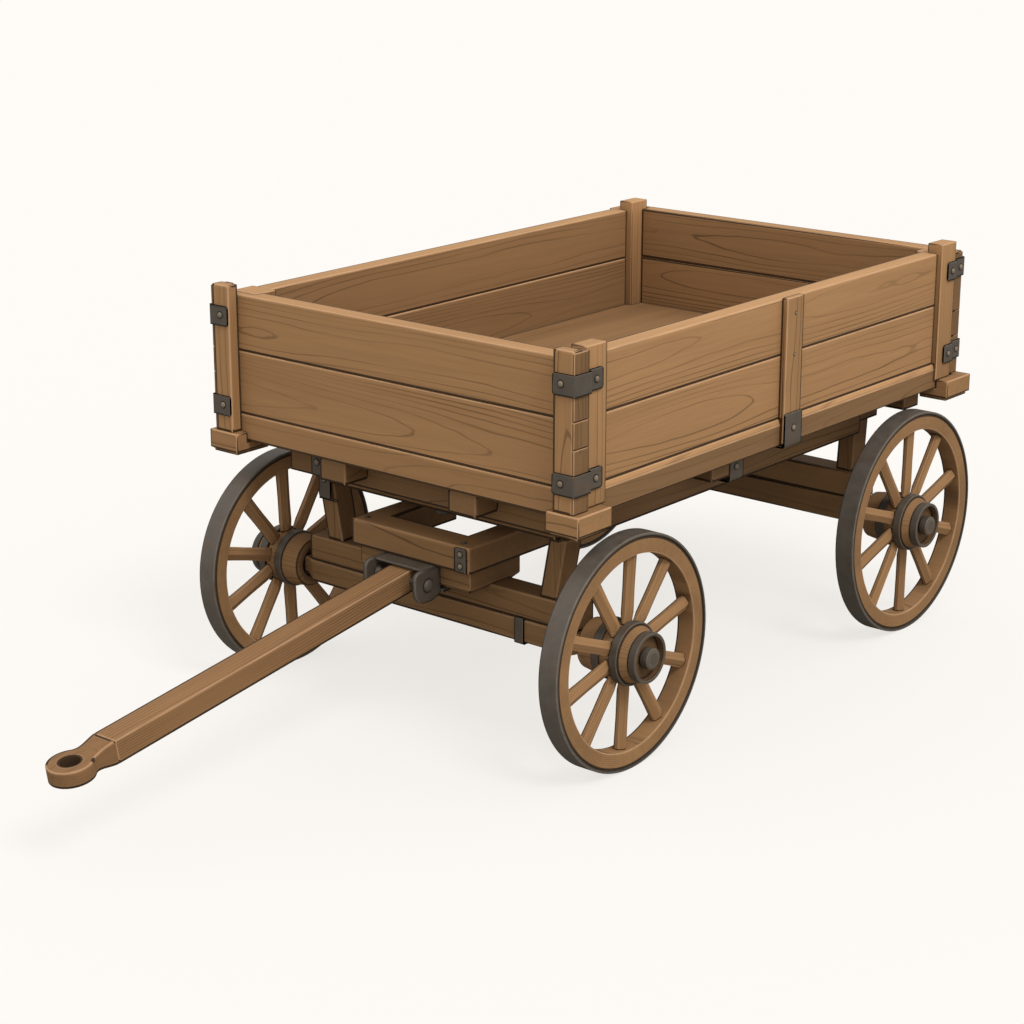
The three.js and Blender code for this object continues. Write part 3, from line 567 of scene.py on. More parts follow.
def turned(bm, profile, segments, closed, grain=None, tone=0.0):
    """Turns a profile of (radius, height, edge) round the local Y axis, and adds it to the mesh."""
    edge_layer, tone_layer, grain_layer = layers_of(bm)
    rows = []
    for radius, height, level in profile:
        row = []
        for k in range(1 if radius < 1e-6 else segments):
            angle = 2 * math.pi * k / segments
            v = bm.verts.new((radius * math.sin(angle), height, radius * math.cos(angle)))
            v[edge_layer] = level
            v[tone_layer] = tone
            if grain:
                v[grain_layer] = grain(v.co)
            row.append(v)
        rows.append(row)
    pairs = list(zip(rows, rows[1:])) + ([(rows[-1], rows[0])] if closed else [])
    for low, high in pairs:
        for k in range(segments):
            j = (k + 1) % segments
            corners = [low[k % len(low)], low[j % len(low)], high[j % len(high)], high[k % len(high)]]
            unique = list(dict.fromkeys(corners))
            if len(unique) > 2:
                bm.faces.new(unique)


def metres(points):
    return [(x * MM, y * MM) for x, y in points]


def rectangle(x_low, y_low, x_high, y_high):
    return [(x_low, y_low), (x_high, y_low), (x_high, y_high), (x_low, y_high)]


# Wheels. Profiles are (radius, height) in mm, with heights along the axle, outward from the rim's middle.
WHEEL_SEGMENTS = 96
CAP_SEGMENTS = 48
TRACK = 610 * MM
TYRE_THICKNESS = 4.5 * MM
SEAT = 0.3 * MM
RIM_WIDTH = 27 * MM
RIM_HEIGHT = 21.5 * MM
SPOKE_WIDTH = 19 * MM
SPOKE_DEPTH = 17 * MM
SPOKE_EDGE = 7 * MM
SPOKE_COUNT = 10
SPOKE_SMOOTH = math.radians(28)
BARREL = 38 * MM
RECESS = 28.3
HUB = [
    (8.6, -44), (20, -44), (20, -52), (34, -52), (38, -25), (38, 5), (38.5, 17), (32, 29), (30.5, 39.5),
    (RECESS, 39.5), (RECESS, 31), (8.6, 31),
]
INNER_BAND = rectangle(37.1, -25, 40.5, -13)
OUTER_BAND = rectangle(38.6, 5, 42, 17)
NOSE_BAND = [(30, 29), (33.5, 29), (33.5, 40.5), (29.5, 40.5), (29.5, 38.9)]
CAP_AND_AXLE = [(0, 45.8), (9.8, 45.8), (14, 44.8), (14, 32.6), (8, 32.6), (8, -60), (0, -60)]
RIM_EDGES = (1.2 * MM, 2.4 * MM)  # width of the arris, and of the strip beside it
TYRE_EDGES = (1.0 * MM, 1.6 * MM)
HUB_EDGES = (0.9 * MM, 1.2 * MM)
HUB_SHADE = -0.12
# Painted shade in the hub's nose recess
RECESS_SHADE = -0.5
PHASES = {"front_left": -3.5, "front_right": -3.0, "rear_left": -0.9, "rear_right": 0.0}
# Stations along a spoke: place in mm from the barrel or from the rim, width, depth and edge level
SPOKE_FOOT = [
    (-3, 1.0, 0.56, 0.0), (0.3, 1.0, 0.56, PLAIN_DARK), (1.8, 1.0, 0.56, 0.0), (5, 1.0, 0.56, 0.0),
    (14, 0.97, 0.97, 0.0), (26, 0.95, 0.95, 0.0),
]
SPOKE_WAIST = (0.93, 0.93, 0.0)
SPOKE_HEAD = [(-22, 0.96, 0.96, 0.0), (-3.0, 1.0, 1.0, 0.0), (-1.2, 1.0, 1.0, 1.7), (6, 1.0, 1.0, PLAIN_DARK)]


def spoke_section(seen):
    """Points round a spoke as (across, deep, edge), with a ridge on both faces and flat sides. The ridges
    carry a faint painted highlight; the arrises of the face that looks to the cart's left get a painted
    highlight, the others a painted shade line."""
    w, d, e = SPOKE_WIDTH / 2, SPOKE_DEPTH / 2, SPOKE_EDGE / 2
    quarter = []
    for t, level in ((0.0, 0.8), (0.12, 0.5), (0.3, 0.0), (0.72, 0.0), (0.9, 0.6)):
        quarter.append((t * w, d + (e - d) * t, level))
    quarter.append((w, e, DARK))
    quarter.append((w, 0.3 * e, 0.4))
    front = quarter + [(x, -y, level) for x, y, level in reversed(quarter)][:-1]
    section = []
    for x, y, level in front + [(-x, -y, level) for x, y, level in front]:
        if not section or (Vector((x, y)) - Vector(section[-1][:2])).length > 1e-6:
            section.append((x, y, BRIGHT if level == DARK and y * seen > 0 else level))
    return section


def add_spokes(bm, rim_inner, phase, seen, draw):
    edge_layer, tone_layer, grain_layer = layers_of(bm)
    section = spoke_section(seen)
    foot = [(BARREL + place * MM, *rest) for place, *rest in SPOKE_FOOT]
    head = [(rim_inner + place * MM, *rest) for place, *rest in SPOKE_HEAD]
    stations = foot + [((foot[0][0] + head[-1][0]) / 2, *SPOKE_WAIST)] + head
    for i in range(SPOKE_COUNT):
        turn = Matrix.Rotation(phase + i * 2 * math.pi / SPOKE_COUNT, 4, "Y")
        shift = [draw.uniform(0, GRAIN_LENGTH), draw.uniform(-0.01, 0.01), 0.05 + draw.uniform(0, 0.03)]
        tone = draw.uniform(-0.05, 0.05)
        rows = []
        for place, swell, depth, level in stations:
            row = []
            for across, deep, own in section:
                point = Vector((across * swell, deep * depth, place))
                v = bm.verts.new(turn @ point)
                v[edge_layer] = max(own, level)
                v[tone_layer] = tone
                v[grain_layer] = Vector((point.z, point.x, point.y)) + Vector(shift)
                row.append(v)
            rows.append(row)
        skin(bm, rows)
        bm.faces.new(list(reversed(rows[0])))
        bm.faces.new(rows[-1])


def wheel_matrix(name):
    low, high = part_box(name + "_tyre")
    way = WAYS[name.split("_")[1]]
    centre = Vector(((low.x + high.x) / 2, way * TRACK / 2, (low.z + high.z) / 2))
    turn = Matrix.Rotation(math.pi if way < 0 else 0.0, 4, "Z")
    return Matrix.Translation(centre) @ turn, (high.z - low.z) / 2


def add_wheel(name):
    matrix, radius = wheel_matrix(name)
    body = body_of(name + "_wheel")
    draw = random.Random(name)
    rim_outer = radius - TYRE_THICKNESS - SEAT
    rim_inner = rim_outer - RIM_HEIGHT
    shift = Vector((draw.uniform(0, GRAIN_LENGTH), 0.0, 0.0))
    left = name.endswith("left")
    seen_outer, seen_inner = ({2}, {3}) if left else ({1}, {0})  # a hoop's corners that face the cart's left, which get a painted highlight

    def ring(bm, outline, edges, bright=(), *surface):
        turned(bm, edged_profile(outline, *edges, True, bright), WHEEL_SEGMENTS, True, *surface)

    def place(piece, bm, finish, replaced, *sharp):
        bm.transform(matrix)
        finished(f"{name}_{piece}", bm, body, finish, [f"{name}_{replaced}"], *sharp)

    rim = new_mesh()
    ring(rim, rectangle(rim_inner, -RIM_WIDTH / 2, rim_outer, RIM_WIDTH / 2), RIM_EDGES, seen_inner,
         lambda p: Vector((p.y, p.x, p.z)) + shift, draw.uniform(-0.03, 0.03))
    place("felloes", rim, "wheel_wood", "wheel")

    spokes = new_mesh()
    add_spokes(spokes, rim_inner, math.radians(PHASES[name]), 1 if left else -1, draw)
    place("spokes", spokes, "wheel_wood", "wheel", SPOKE_SMOOTH)

    hub = new_mesh()
    # Every arris of the hub carries a painted shade line
    ring(hub, metres(HUB), HUB_EDGES, (),
         lambda p: Vector((p.y + shift.x, BARREL * (abs(math.atan2(p.x, -p.z)) - 1.3), 0.05)), HUB_SHADE)
    # Painted shade in the nose recess
    for v in hub.verts:
        if math.hypot(v.co.x, v.co.z) < (RECESS + 0.5) * MM:
            v[hub.verts.layers.float["tone"]] = RECESS_SHADE
    place("nave", hub, "wheel_wood", "wheel")

    bands = new_mesh()
    for outline, bright in ((INNER_BAND, seen_outer), (OUTER_BAND, seen_outer), (NOSE_BAND, {2, 3})):
        ring(bands, metres(outline), IRON_EDGES, bright)
    place("bands", bands, "iron", "wheel")

    tyre = new_mesh()
    low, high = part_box(name + "_tyre")
    half = (high.y - low.y) / 2
    ring(tyre, rectangle(radius - TYRE_THICKNESS, -half, radius, half), TYRE_EDGES, seen_outer)
    place("hoop", tyre, "tyre_iron", "tyre")


def add_axle(end):
    """The axle's shaft with its caps, which close the hubs."""
    caps = new_mesh()
    for side in ("left", "right"):
        single = new_mesh()
        turned(single, edged_profile(metres(CAP_AND_AXLE), *IRON_EDGES, False, {1, 2}), CAP_SEGMENTS, False)
        add_copy(caps, single, wheel_matrix(f"{end}_{side}")[0])
    shaft = end + "_axle_shaft"
    finished("fine_" + shaft, caps, body_of(shaft), "iron", [shaft])


# Irons. Measures are millimetres in the place of the front left corner: x from the front face, y from the
# middle and z from the ground. The other corners mirror them.
FORWARD, OUTWARD, UP = (1, 0, 0), (0, 1, 0), (0, 0, 1)
PLANES = {"xy": (FORWARD, OUTWARD), "xz": (FORWARD, UP), "yz": (OUTWARD, UP), "back_xz": ((-1, 0, 0), UP)}
ARC_STEPS = 5
PLATE_SHARE = 0.35  # most of a slab's thickness that its arris may take
BOLT_SEGMENTS = 24
BOLT_RISE = 0.55  # shares of a bolt head's radius
BOLT_FOOT = 0.1
WASHER = (1.12, 1.38, 1.44, 0.08)  # radii of the washer's flat and its rim, and its height


def local(x, y, z):
    return Vector((x * MM, y * MM, z * MM))


def corner_mirror(end, side):
    """Turns points of the front left corner into the given corner's."""
    flip = Matrix.Diagonal((1.0 if end == "front" else -1.0, WAYS[side], 1.0, 1.0))
    return Matrix.Translation((front_face if end == "front" else rear_face, 0, 0)) @ flip


FRONT_LEFT = corner_mirror("front", "left")


def arcs(corners, radii):
    """A flat outline in metres, with an arc of points in place of each corner that has a radius."""
    result = []
    for i, (x, y) in enumerate(corners):
        here = Vector((x, y))
        back = (Vector(corners[i - 1]) - here).normalized()
        ahead = (Vector(corners[(i + 1) % len(corners)]) - here).normalized()
        size = radii[i]
        if size <= 0:
            result.append(here)
            continue
        half = back.angle(ahead) / 2
        reach = size / math.tan(half)
        centre = here + (back + ahead).normalized() * size / math.sin(half)
        first, last = here + back * reach, here + ahead * reach
        for k in range(ARC_STEPS + 1):
            point = first.lerp(last, k / ARC_STEPS)
            result.append(centre + (point - centre).normalized() * size)
    return result


def rounded(corners, radius):
    """An outline in metres from corners in millimetres, with one radius for all or one for each."""
    radii = radius if isinstance(radius, (list, tuple)) else [radius] * len(corners)
    return arcs(metres(corners), [r * MM for r in radii])


def strip(points, thickness, bend):
    """The outline of a strip that is bent along a line of points and lies to the left of it."""
    line = [Vector(p) * MM for p in points]
    thick, bend = thickness * MM, bend * MM
    outer, radii, outer_radii = [], [], []
    for i, here in enumerate(line):
        ways = [(line[k + 1] - line[k]).normalized() for k in (i - 1, i) if 0 <= k < len(line) - 1]
        sides = [Vector((-way.y, way.x)) for way in ways]
        middle = (sides[0] + sides[-1]).normalized()
        outer.append(here + middle * (thick / middle.dot(sides[0])))
        left_turn = len(ways) > 1 and ways[0].cross(ways[1]) > 0
        end = len(ways) == 1
        radii.append(0.0 if end else bend + (thick if left_turn else 0.0))
        outer_radii.append(0.0 if end else bend + (0.0 if left_turn else thick))
    return arcs([tuple(p) for p in line + outer[::-1]], radii + outer_radii[::-1])


def slab(outline, thickness, arris=IRON_ARRIS, rim=IRON_RIM, planes=()):
    """A flat body: its outline in metres in local x and y, its thickness along z. Planes cut parts off."""
    single = new_mesh()
    face = single.faces.new([single.verts.new((p[0], p[1], 0.0)) for p in outline])
    raised = bmesh.ops.extrude_face_region(single, geom=[face])
    top = [v for v in raised["geom"] if isinstance(v, bmesh.types.BMVert)]
    bmesh.ops.translate(single, verts=top, vec=(0, 0, thickness * MM))
    bmesh.ops.recalc_face_normals(single, faces=single.faces)
    for place, normal in planes:
        cut_away(single, place, normal)
    dress_edges(single, min(arris, thickness * MM * PLATE_SHARE), rim)
    return single


def standing(mirror, plane, place):
    """Turns a slab's own frame to the named plane at the place."""
    x_axis, y_axis = [Vector(axis) for axis in PLANES[plane]]
    matrix = Matrix((x_axis, y_axis, x_axis.cross(y_axis))).transposed().to_4x4()
    matrix.translation = local(*place)
    return mirror @ matrix


def add_copy(bm, single, matrix):
    """Adds a small mesh to a larger one, moved by the matrix, and frees it."""
    single.transform(matrix)
    if matrix.determinant() < 0:
        bmesh.ops.reverse_faces(single, faces=single.faces)
    holder = bpy.data.meshes.new("holder")
    single.to_mesh(holder)
    single.free()
    bm.from_mesh(holder)
    bpy.data.meshes.remove(holder)


def bolt(bm, mirror, place, normal, size):
    """A domed bolt head on a thin round washer."""
    single = new_mesh()
    radius = size * MM
    profile = [(0.0, radius * BOLT_RISE, 0.3)]
    for k in range(1, 6):
        angle = math.radians(90 - 16 * k)
        height = radius * BOLT_RISE * math.sin(angle) + BOLT_FOOT * radius
        profile.append((radius * math.cos(angle), height, 0.3))
    inner, outer, rim, height = [share * radius for share in WASHER]
    # The head's foot and the washer carry a painted shade ring round the head
    profile += [(radius, BOLT_FOOT * radius, 1.3), (inner, height, PLAIN_DARK), (outer, height, PLAIN_DARK),
                (rim, -BOLT_FOOT * radius, PLAIN_DARK)]
    turned(single, profile, BOLT_SEGMENTS, False)
    turn = Vector(OUTWARD).rotation_difference(Vector(normal)).to_matrix().to_4x4()
    add_copy(bm, single, mirror @ Matrix.Translation(local(*place)) @ turn)


def add_irons(names, body, mirror, slabs, bolts, nails=()):
    """Irons as one piece and their bolts as a brighter one. A slab has its plane and place, a bolt its place,
    direction and radius; nails are bolts of the first piece."""
    iron, bright = new_mesh(), new_mesh()
    for single, plane, place in slabs:
        add_copy(iron, single, standing(mirror, plane, place))
    for bm, heads in ((iron, nails), (bright, bolts)):
        for place, normal, radius in heads:
            bolt(bm, mirror, place, normal, radius)
    finished(names[0], iron, body, "iron")
    finished(names[1], bright, body, "bolt_iron")


# Straps: the line of a corner's bent strip (forward, across), the start and length of the leaf beside it,
# and the bolts, with heights counted from the strap's middle
STRAP_HEIGHT = 27.5
STRAP_LEVELS = (531.3, 406.3)
STRAP_BEND = 0.8
STRAP_BOLT = 3.9
STRAP_ROUND = 4
THICK = 2.6
POST_FACE = 18.3
POST_SIDE = 314.3
SIDE_FACE = 307.8
REAR_SIDE = 301.4
FRONT_LINE = POST_FACE + 0.1
REAR_LINE = POST_FACE + 0.4
FRONT_TIP = 282
STRAPS = {
    "front": (
        [(-11.5, 300.4), (-11.5, POST_SIDE), (FRONT_LINE, POST_SIDE), (FRONT_LINE, FRONT_TIP)], (-14.5, 28.5),
        [((POST_FACE + THICK, 295.2, 1), FORWARD), ((-30, SIDE_FACE + THICK, 0), OUTWARD)],
    ),
    "rear": (
        [(-13.2, SIDE_FACE + 1), (-13.2, REAR_SIDE), (REAR_LINE, REAR_SIDE), (REAR_LINE, 272)], (-11.8, 26.5),
        [((REAR_LINE + THICK, 285, 0), FORWARD), ((8, REAR_SIDE + THICK, 0), OUTWARD),
         ((-26, SIDE_FACE + THICK, 0), OUTWARD)],
    ),
}


def tip_planes():
    """Planes that round the corners of the front strip at its tip."""
    planes = []
    for up in (-1, 1):
        height = (1 + up) * STRAP_HEIGHT / 2 - up * STRAP_ROUND
        middle = local(FRONT_LINE, FRONT_TIP + STRAP_ROUND, height)
        for angle in map(math.radians, (22.5, 45, 67.5)):
            normal = Vector((0, -math.cos(angle), up * math.sin(angle)))
            planes.append((middle + normal * STRAP_ROUND * MM, normal))
    return planes


def add_straps(end, side):
    """Two straps at the corner, each with a strip bent round the end post and a leaf on the side post."""
    line, (start, length), places = STRAPS[end]
    half = STRAP_HEIGHT / 2
    bend = strip(line, THICK, STRAP_BEND)
    tips = tip_planes() if end == "front" else ()
    leaf = rounded(rectangle(0.0, -half, length, half), (0, STRAP_ROUND, STRAP_ROUND, 0))
    slabs, bolts = [], []
    for level in STRAP_LEVELS:
        slabs.append((slab(bend, STRAP_HEIGHT, planes=tips), "xy", (0, 0, level - half)))
        slabs.append((slab(leaf, THICK), "back_xz", (start, SIDE_FACE, level)))
        bolts += [((x, y, level + up), normal, STRAP_BOLT) for (x, y, up), normal in places]
    names = (f"strap_{end}_{side}", f"strap_bolts_{end}_{side}")
    add_irons(names, "chassis", corner_mirror(end, side), slabs, bolts)


# Facings of the end posts' sides: three blocks, one over the other, that also fill the gap behind the post
FACING_CUT = 2.0  # taken off the post's side for them
FACING_SIDES = {"front": (308.8, 314.0), "rear": (295.5, 300.7)}
# Painted shade: the facings are darker, as the post's recessed side lies in shade
FACING_SHADE = -0.42
FACING_EDGES = (0.7 * MM, 1.4 * MM)
FACING_LEVELS = {
    "front": ((369.6, 450.9), (451.5, 485.8), (486.4, 571.2)),
    "rear": ((369.6, 426.9), (427.5, 464.8), (465.4, 552.6)),
}


def add_post_facing(end, side):
    inner, outer = FACING_SIDES[end]
    corners = [(-11.2, 300.4), (0.1, 300.4), (0.1, inner), (18.2, inner), (18.2, outer), (-11.2, outer)]
    blocks = new_mesh()
    for count, (low, high) in enumerate(FACING_LEVELS[end]):
        block = slab(rounded(corners, 0), high - low, *FACING_EDGES)
        lay_grain(block, "zxy", f"facing_{end}_{side}_{count}", FACING_SHADE, THIN_GRAIN_DEPTH)
        add_copy(blocks, block, standing(corner_mirror(end, side), "xy", (0, 0, low)))
    finished(f"post_facing_{end}_{side}", blocks, "chassis", "front_wood")


STAKE_GAP = 0.2
STAKE_FOOT = 40.6
SIDE_STIRRUP = [(277, 355.9), (277, 319.8), (238.4, 319.8)]  # across and up


def add_side_irons(side):
    """The stake's foot iron with its bolt and two nails, and the stirrup behind the middle cross joist."""
    low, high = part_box("side_stake_" + side)
    middle = ((low.x + high.x) / 2 - front_face) / MM
    face = max(abs(low.y), abs(high.y)) / MM + STAKE_GAP
    line = [(face, 402), (face, 355.8), (285, 355.8)]
    slabs = [
        (slab(strip(line, THICK, 2.5), STAKE_FOOT), "yz", (middle - STAKE_FOOT / 2, 0, 0)),
        (slab(strip(SIDE_STIRRUP, THICK, 4), 31), "yz", (-396, 0, 0)),
    ]
    bolts = [((middle, face + THICK, 380), OUTWARD, STRAP_BOLT)]
    bolts += [((middle, face - STAKE_GAP, level), OUTWARD, 2.0) for level in (538.7, 481.6)]
    bolts.append(((-379, 279.6, 338), OUTWARD, STRAP_BOLT))
    names = ("side_irons_" + side, "side_bolts_" + side)
    add_irons(names, "chassis", corner_mirror("front", side), slabs, bolts)


# Corners of plates across the cart are (across, up), and lines of strips are (forward, up)
BOLSTER_PLATE = rectangle(-192, 313.5, -171, 350)
STIRRUP_PLATE = rectangle(-213.4, 268.4, -192.4, 310.5)
HOUNDS_PLATE = rectangle(81, 236.4, 101, 270.2)
STIRRUP_LIP = [(-79.6, 268.6), (-84.8, 268.6)]
AXLE_CLIP = [(-81.7, 171.2), (-79.8, 171.2), (-79.8, 139.8), (-124.2, 139.8), (-124.2, 171.2)]
CROSS_BOLT = 4.2
RIVET = 3.6
NAIL = 3.4


def add_bolster_iron():
    """A plate with a bolt on the front bolster, above the stirrup of the right strut."""
    slabs = [(slab(rounded(BOLSTER_PLATE, 4), THICK), "yz", (-45.1, 0, 0))]
    bolts = [((-42.5, -181.5, 333), FORWARD, CROSS_BOLT)]
    add_irons(("bolster_plate", "bolster_bolt"), "chassis", FRONT_LEFT, slabs, bolts)


def add_truck_irons():
    """A stirrup at the right strut's head, a clip round the axle and a riveted plate."""
    slabs = [
        (slab(rounded(STIRRUP_PLATE, (5, 5, 4, 4)), THICK), "yz", (-79.8, 0, 0)),
        (slab(strip(STIRRUP_LIP, THICK, 1), 34), "xz", (0, -182, 0)),
        (slab(strip(AXLE_CLIP, 2.8, 0.8), 15), "xz", (0, 156, 0)),
        (slab(rounded(HOUNDS_PLATE, 2.5), 1.8), "yz", (-28.9, 0, 0)),
    ]
    bolts = [((-77.2, -203.4, 297), FORWARD, CROSS_BOLT)]
    bolts += [((-27.1, 91, level), FORWARD, RIVET) for level in (261.5, 245)]
    nails = [((x, y, 272.1), UP, NAIL) for x, y in ((-44.9, -89.6), (-43, 84))]
    add_irons(("truck_irons", "truck_bolts"), "front_truck", FRONT_LEFT, slabs, bolts, nails)


# Clevis: two ears with rounded shoulders, a bridge, a foot that runs back, and a pin with domed heads
PIVOT = (-12.5, 0, 213.4)
EAR_SIDES = (47, -41)
EAR_THICKNESS = 6
EAR_EDGES = (1.2 * MM, 1.6 * MM)
EAR = [(-38.4, 235.0), (11.4, 235.0), (11.4, 189.6), (-24, 189.6),
       (-38, 196.5), (-68.6, 196.5), (-68.6, 201.4), (-38.4, 201.4)]
EAR_ROUNDS = [0.0, 11, 19, 9, 7, 2, 2, 5]
BRIDGE = rectangle(-38.4, 231.8, -6.6, 235.2)
FOOT = rectangle(-68.5, 196.6, -39.2, 201.3)
PIN_SEGMENTS = 32
PIN_HALF = [  # radius, height from the pin's middle, edge level
    (5.5, 33.0, 0.0), (7.0, 33.5, 0.3), (8.4, 36.0, 0.5), (9.0, 39.0, 1.0), (9.0, 40.6, 2.0),
    (5.5, 40.6, 0.0), (5.5, 47.3, 0.0), (10.2, 47.3, 2.0), (10.0, 47.9, 2.0), (8.5, 47.9, 2.0),
    (8.3, 48.8, 1.0), (7.5, 50.1, 0.5), (5.9, 51.3, 0.3), (3.4, 52.1, 0.1), (0.0, 52.4, 0.0),
]


def add_clevis():
    iron = new_mesh()
    parts = [(slab(rounded(EAR, EAR_ROUNDS), EAR_THICKNESS, *EAR_EDGES), side) for side in EAR_SIDES]
    parts.append((slab(rounded(BRIDGE, (0.0, 1.0, 2.2, 0.0)), 84), 42))
    parts.append((slab(rounded(FOOT, 0.8), 99.6), 49.8))
    for single, side in parts:
        add_copy(iron, single, standing(FRONT_LEFT, "xz", (0, side, 0)))
    finished("fine_clevis", iron, body_of("clevis"), "iron", ["clevis"])

    pin = new_mesh()
    profile = [(r, -h, e) for r, h, e in reversed(PIN_HALF)] + PIN_HALF
    turned(pin, [(r * MM, h * MM, e) for r, h, e in profile], PIN_SEGMENTS, False)
    pin.transform(FRONT_LEFT @ Matrix.Translation(local(*PIVOT)))
    finished("fine_clevis_pin", pin, body_of("clevis_pin"), "iron", ["clevis_pin"])


# Drawbar: a squared bar, and an eye piece that narrows to a neck and swells round its hole
BAR_DROP = math.radians(8.5)
BAR_LENGTH = 572
BAR_HALF_WIDTH = 19
BAR_HALF_HEIGHT = 15.5
BAR_HEEL = -17
BAR_HEEL_ROUND = 5
BAR_SHADE = 0.08
EYE_SHADE = -0.1
EYE_SHOULDER = 54  # from the middle of the eye back to the bar's square end
EYE_RISE = 20  # from the middle of the eye back to where it starts to thicken
EYE_RADIUS = 28.5
EYE_HOLE = 12.5
EYE_HALF_HEIGHT = 10.5
EYE_NECK = 17.5
EYE_NECK_PLACE = 30
EYE_JOIN = math.radians(132)
EYE_STEPS = 28
NECK_STEPS = 14


def eye_outline():
    """Half of the eye's outline from its tip back to the square end, as (forward, across) points."""
    angles = [EYE_JOIN * k / EYE_STEPS for k in range(EYE_STEPS + 1)]
    half = [(EYE_RADIUS * math.cos(a), EYE_RADIUS * math.sin(a)) for a in angles]
    start = Vector(half[-1])
    way = Vector((-math.sin(EYE_JOIN), math.cos(EYE_JOIN)))
    end = Vector((-EYE_SHOULDER, BAR_HALF_WIDTH))
    waist = Vector((-EYE_NECK_PLACE - 6, EYE_NECK - 1))
    bends = [start, start + way * 9, waist, end + Vector((6, -0.6)), end]
    for k in range(1, NECK_STEPS + 1):
        points = list(bends)
        while len(points) > 1:
            points = [a.lerp(b, k / NECK_STEPS) for a, b in zip(points, points[1:])]
        half.append(tuple(points[0]))
    return half


def eye_mesh():
    """The eye piece round its own middle: x forward, y across, z up. Each row of points is measured from
    the hole or from the outline, and goes round the eye."""
    half = eye_outline()
    end = [(-EYE_SHOULDER, BAR_HALF_WIDTH * k / 4) for k in (3, 2, 1, 0, -1, -2, -3)]
    points = [Vector(p) for p in half + end + [(x, -y) for x, y in reversed(half[1:])]]
    count = len(points)
    cut, flat = ARRIS / MM, (ARRIS + RIM) / MM
    shy = CORNER_SHARE * cut
    # The rows round the hole carry a painted shade line; the outline rows are settled into a painted
    # highlight and a painted shade line
    rows = [
        ("hole", 0.0, cut, PLAIN_DARK), ("hole", shy, shy, PLAIN_DARK), ("hole", cut, 0.0, PLAIN_DARK),
        ("hole", flat, 0.0, 0.0), ("middle", 0.0, 0.0, 0.0), ("outline", flat, 0.0, 0.0),
        ("outline", cut, 0.0, RAW_SIDE), ("outline", shy, shy, RAW_MIDDLE), ("outline", 0.0, cut, RAW_SIDE),
        ("outline", 0.0, flat, 0.0),
    ]
    bm = new_mesh()
    edge_layer = bm.verts.layers.float["edge"]
    rings = []
    for up in (1, -1):
        for start, inset, drop, level in rows[::up]:
            ring = []
            for k, point in enumerate(points):
                back = (point - points[k - 1]).normalized()
                ahead = (points[(k + 1) % count] - point).normalized()
                side = Vector((back.y + ahead.y, -back.x - ahead.x)).normalized()
                edge_place = point - side * (inset / side.dot(Vector((back.y, -back.x))))
                hole_place = point.normalized() * (EYE_HOLE + inset)
                middle = (point + point.normalized() * EYE_HOLE) / 2
                place = {"hole": hole_place, "middle": middle, "outline": edge_place}[start]
                t = min(1.0, max(0.0, (-place.x - EYE_RISE) / (EYE_SHOULDER - EYE_RISE)))
                deep = EYE_HALF_HEIGHT + (BAR_HALF_HEIGHT - EYE_HALF_HEIGHT) * t * t * (3 - 2 * t)
                v = bm.verts.new(local(place.x, place.y, up * (deep - drop)))
                v[edge_layer] = level
                ring.append(v)
            rings.append(ring)
    skin(bm, rings, closed=True)
    return bm


def add_drawbar():
    hinge = FRONT_LEFT @ Matrix.Translation(local(*PIVOT)) @ Matrix.Rotation(BAR_DROP, 4, "Y")
    corners = rectangle(BAR_HEEL, -BAR_HALF_HEIGHT, BAR_LENGTH - EYE_SHOULDER, BAR_HALF_HEIGHT)
    bar = slab(rounded(corners, (BAR_HEEL_ROUND, 0, 0, BAR_HEEL_ROUND)), 2 * BAR_HALF_WIDTH, ARRIS, RIM)
    lay_grain(bar, "xyz", "bar", BAR_SHADE, THIN_GRAIN_DEPTH)
    bar.transform(standing(hinge, "xz", (0, BAR_HALF_WIDTH, 0)))
    finished("fine_drawbar", bar, body_of("drawbar"), "drawbar_wood", ["drawbar"])
    eye = eye_mesh()
    lay_grain(eye, "xyz", "eye", EYE_SHADE, THIN_GRAIN_DEPTH)
    eye.transform(hinge @ Matrix.Translation(local(BAR_LENGTH, 0, 0)))
    finished("drawbar_eye", eye, body_of("drawbar"), "drawbar_wood", ["drawbar"])


# Camera, light, backdrop and floor
def add_camera():
    data = bpy.data.cameras.new("camera")
    data.sensor_width = CAMERA_SENSOR
    data.lens = CAMERA_LENS
    data.clip_end = CAMERA_REACH
    camera = linked("camera", data)
    camera.location = at(*CAMERA_PLACE)
    camera.rotation_euler = Vector(CAMERA_LOOK).to_track_quat("-Z", "Y").to_euler()
    bpy.context.scene.camera = camera


def add_lamp():
    data = bpy.data.lights.new("key", "SUN")
    data.energy = LAMP_STRENGTH
    data.angle = math.radians(LAMP_ANGLE)
    data.color = LIGHT_COLOUR
    lamp = linked("key", data)
    lamp.rotation_euler = Vector(LAMP_WAY).to_track_quat("Z", "Y").to_euler()
    lamp.location = Vector(LAMP_WAY) * LAMP_DISTANCE


def add_world():
    """Soft even light from all around; the camera, mirrors and glass see the backdrop's colour instead."""
    world = bpy.data.worlds.new("studio")
    g = Graph(world)
    path = g.node("ShaderNodeLightPath").outputs
    seen = g.math("MAXIMUM", path["Is Camera Ray"], path["Is Glossy Ray"])
    seen = g.math("MAXIMUM", seen, path["Is Transmission Ray"])
    light = g.node("ShaderNodeBackground", {"Color": (*LIGHT_COLOUR, 1.0), "Strength": 1.0}).outputs[0]
    backdrop = g.node("ShaderNodeBackground", {"Color": linear(GROUND), "Strength": 1.0}).outputs[0]
    g.show(g.blend(seen, light, backdrop), "ShaderNodeOutputWorld")
    bpy.context.scene.world = world


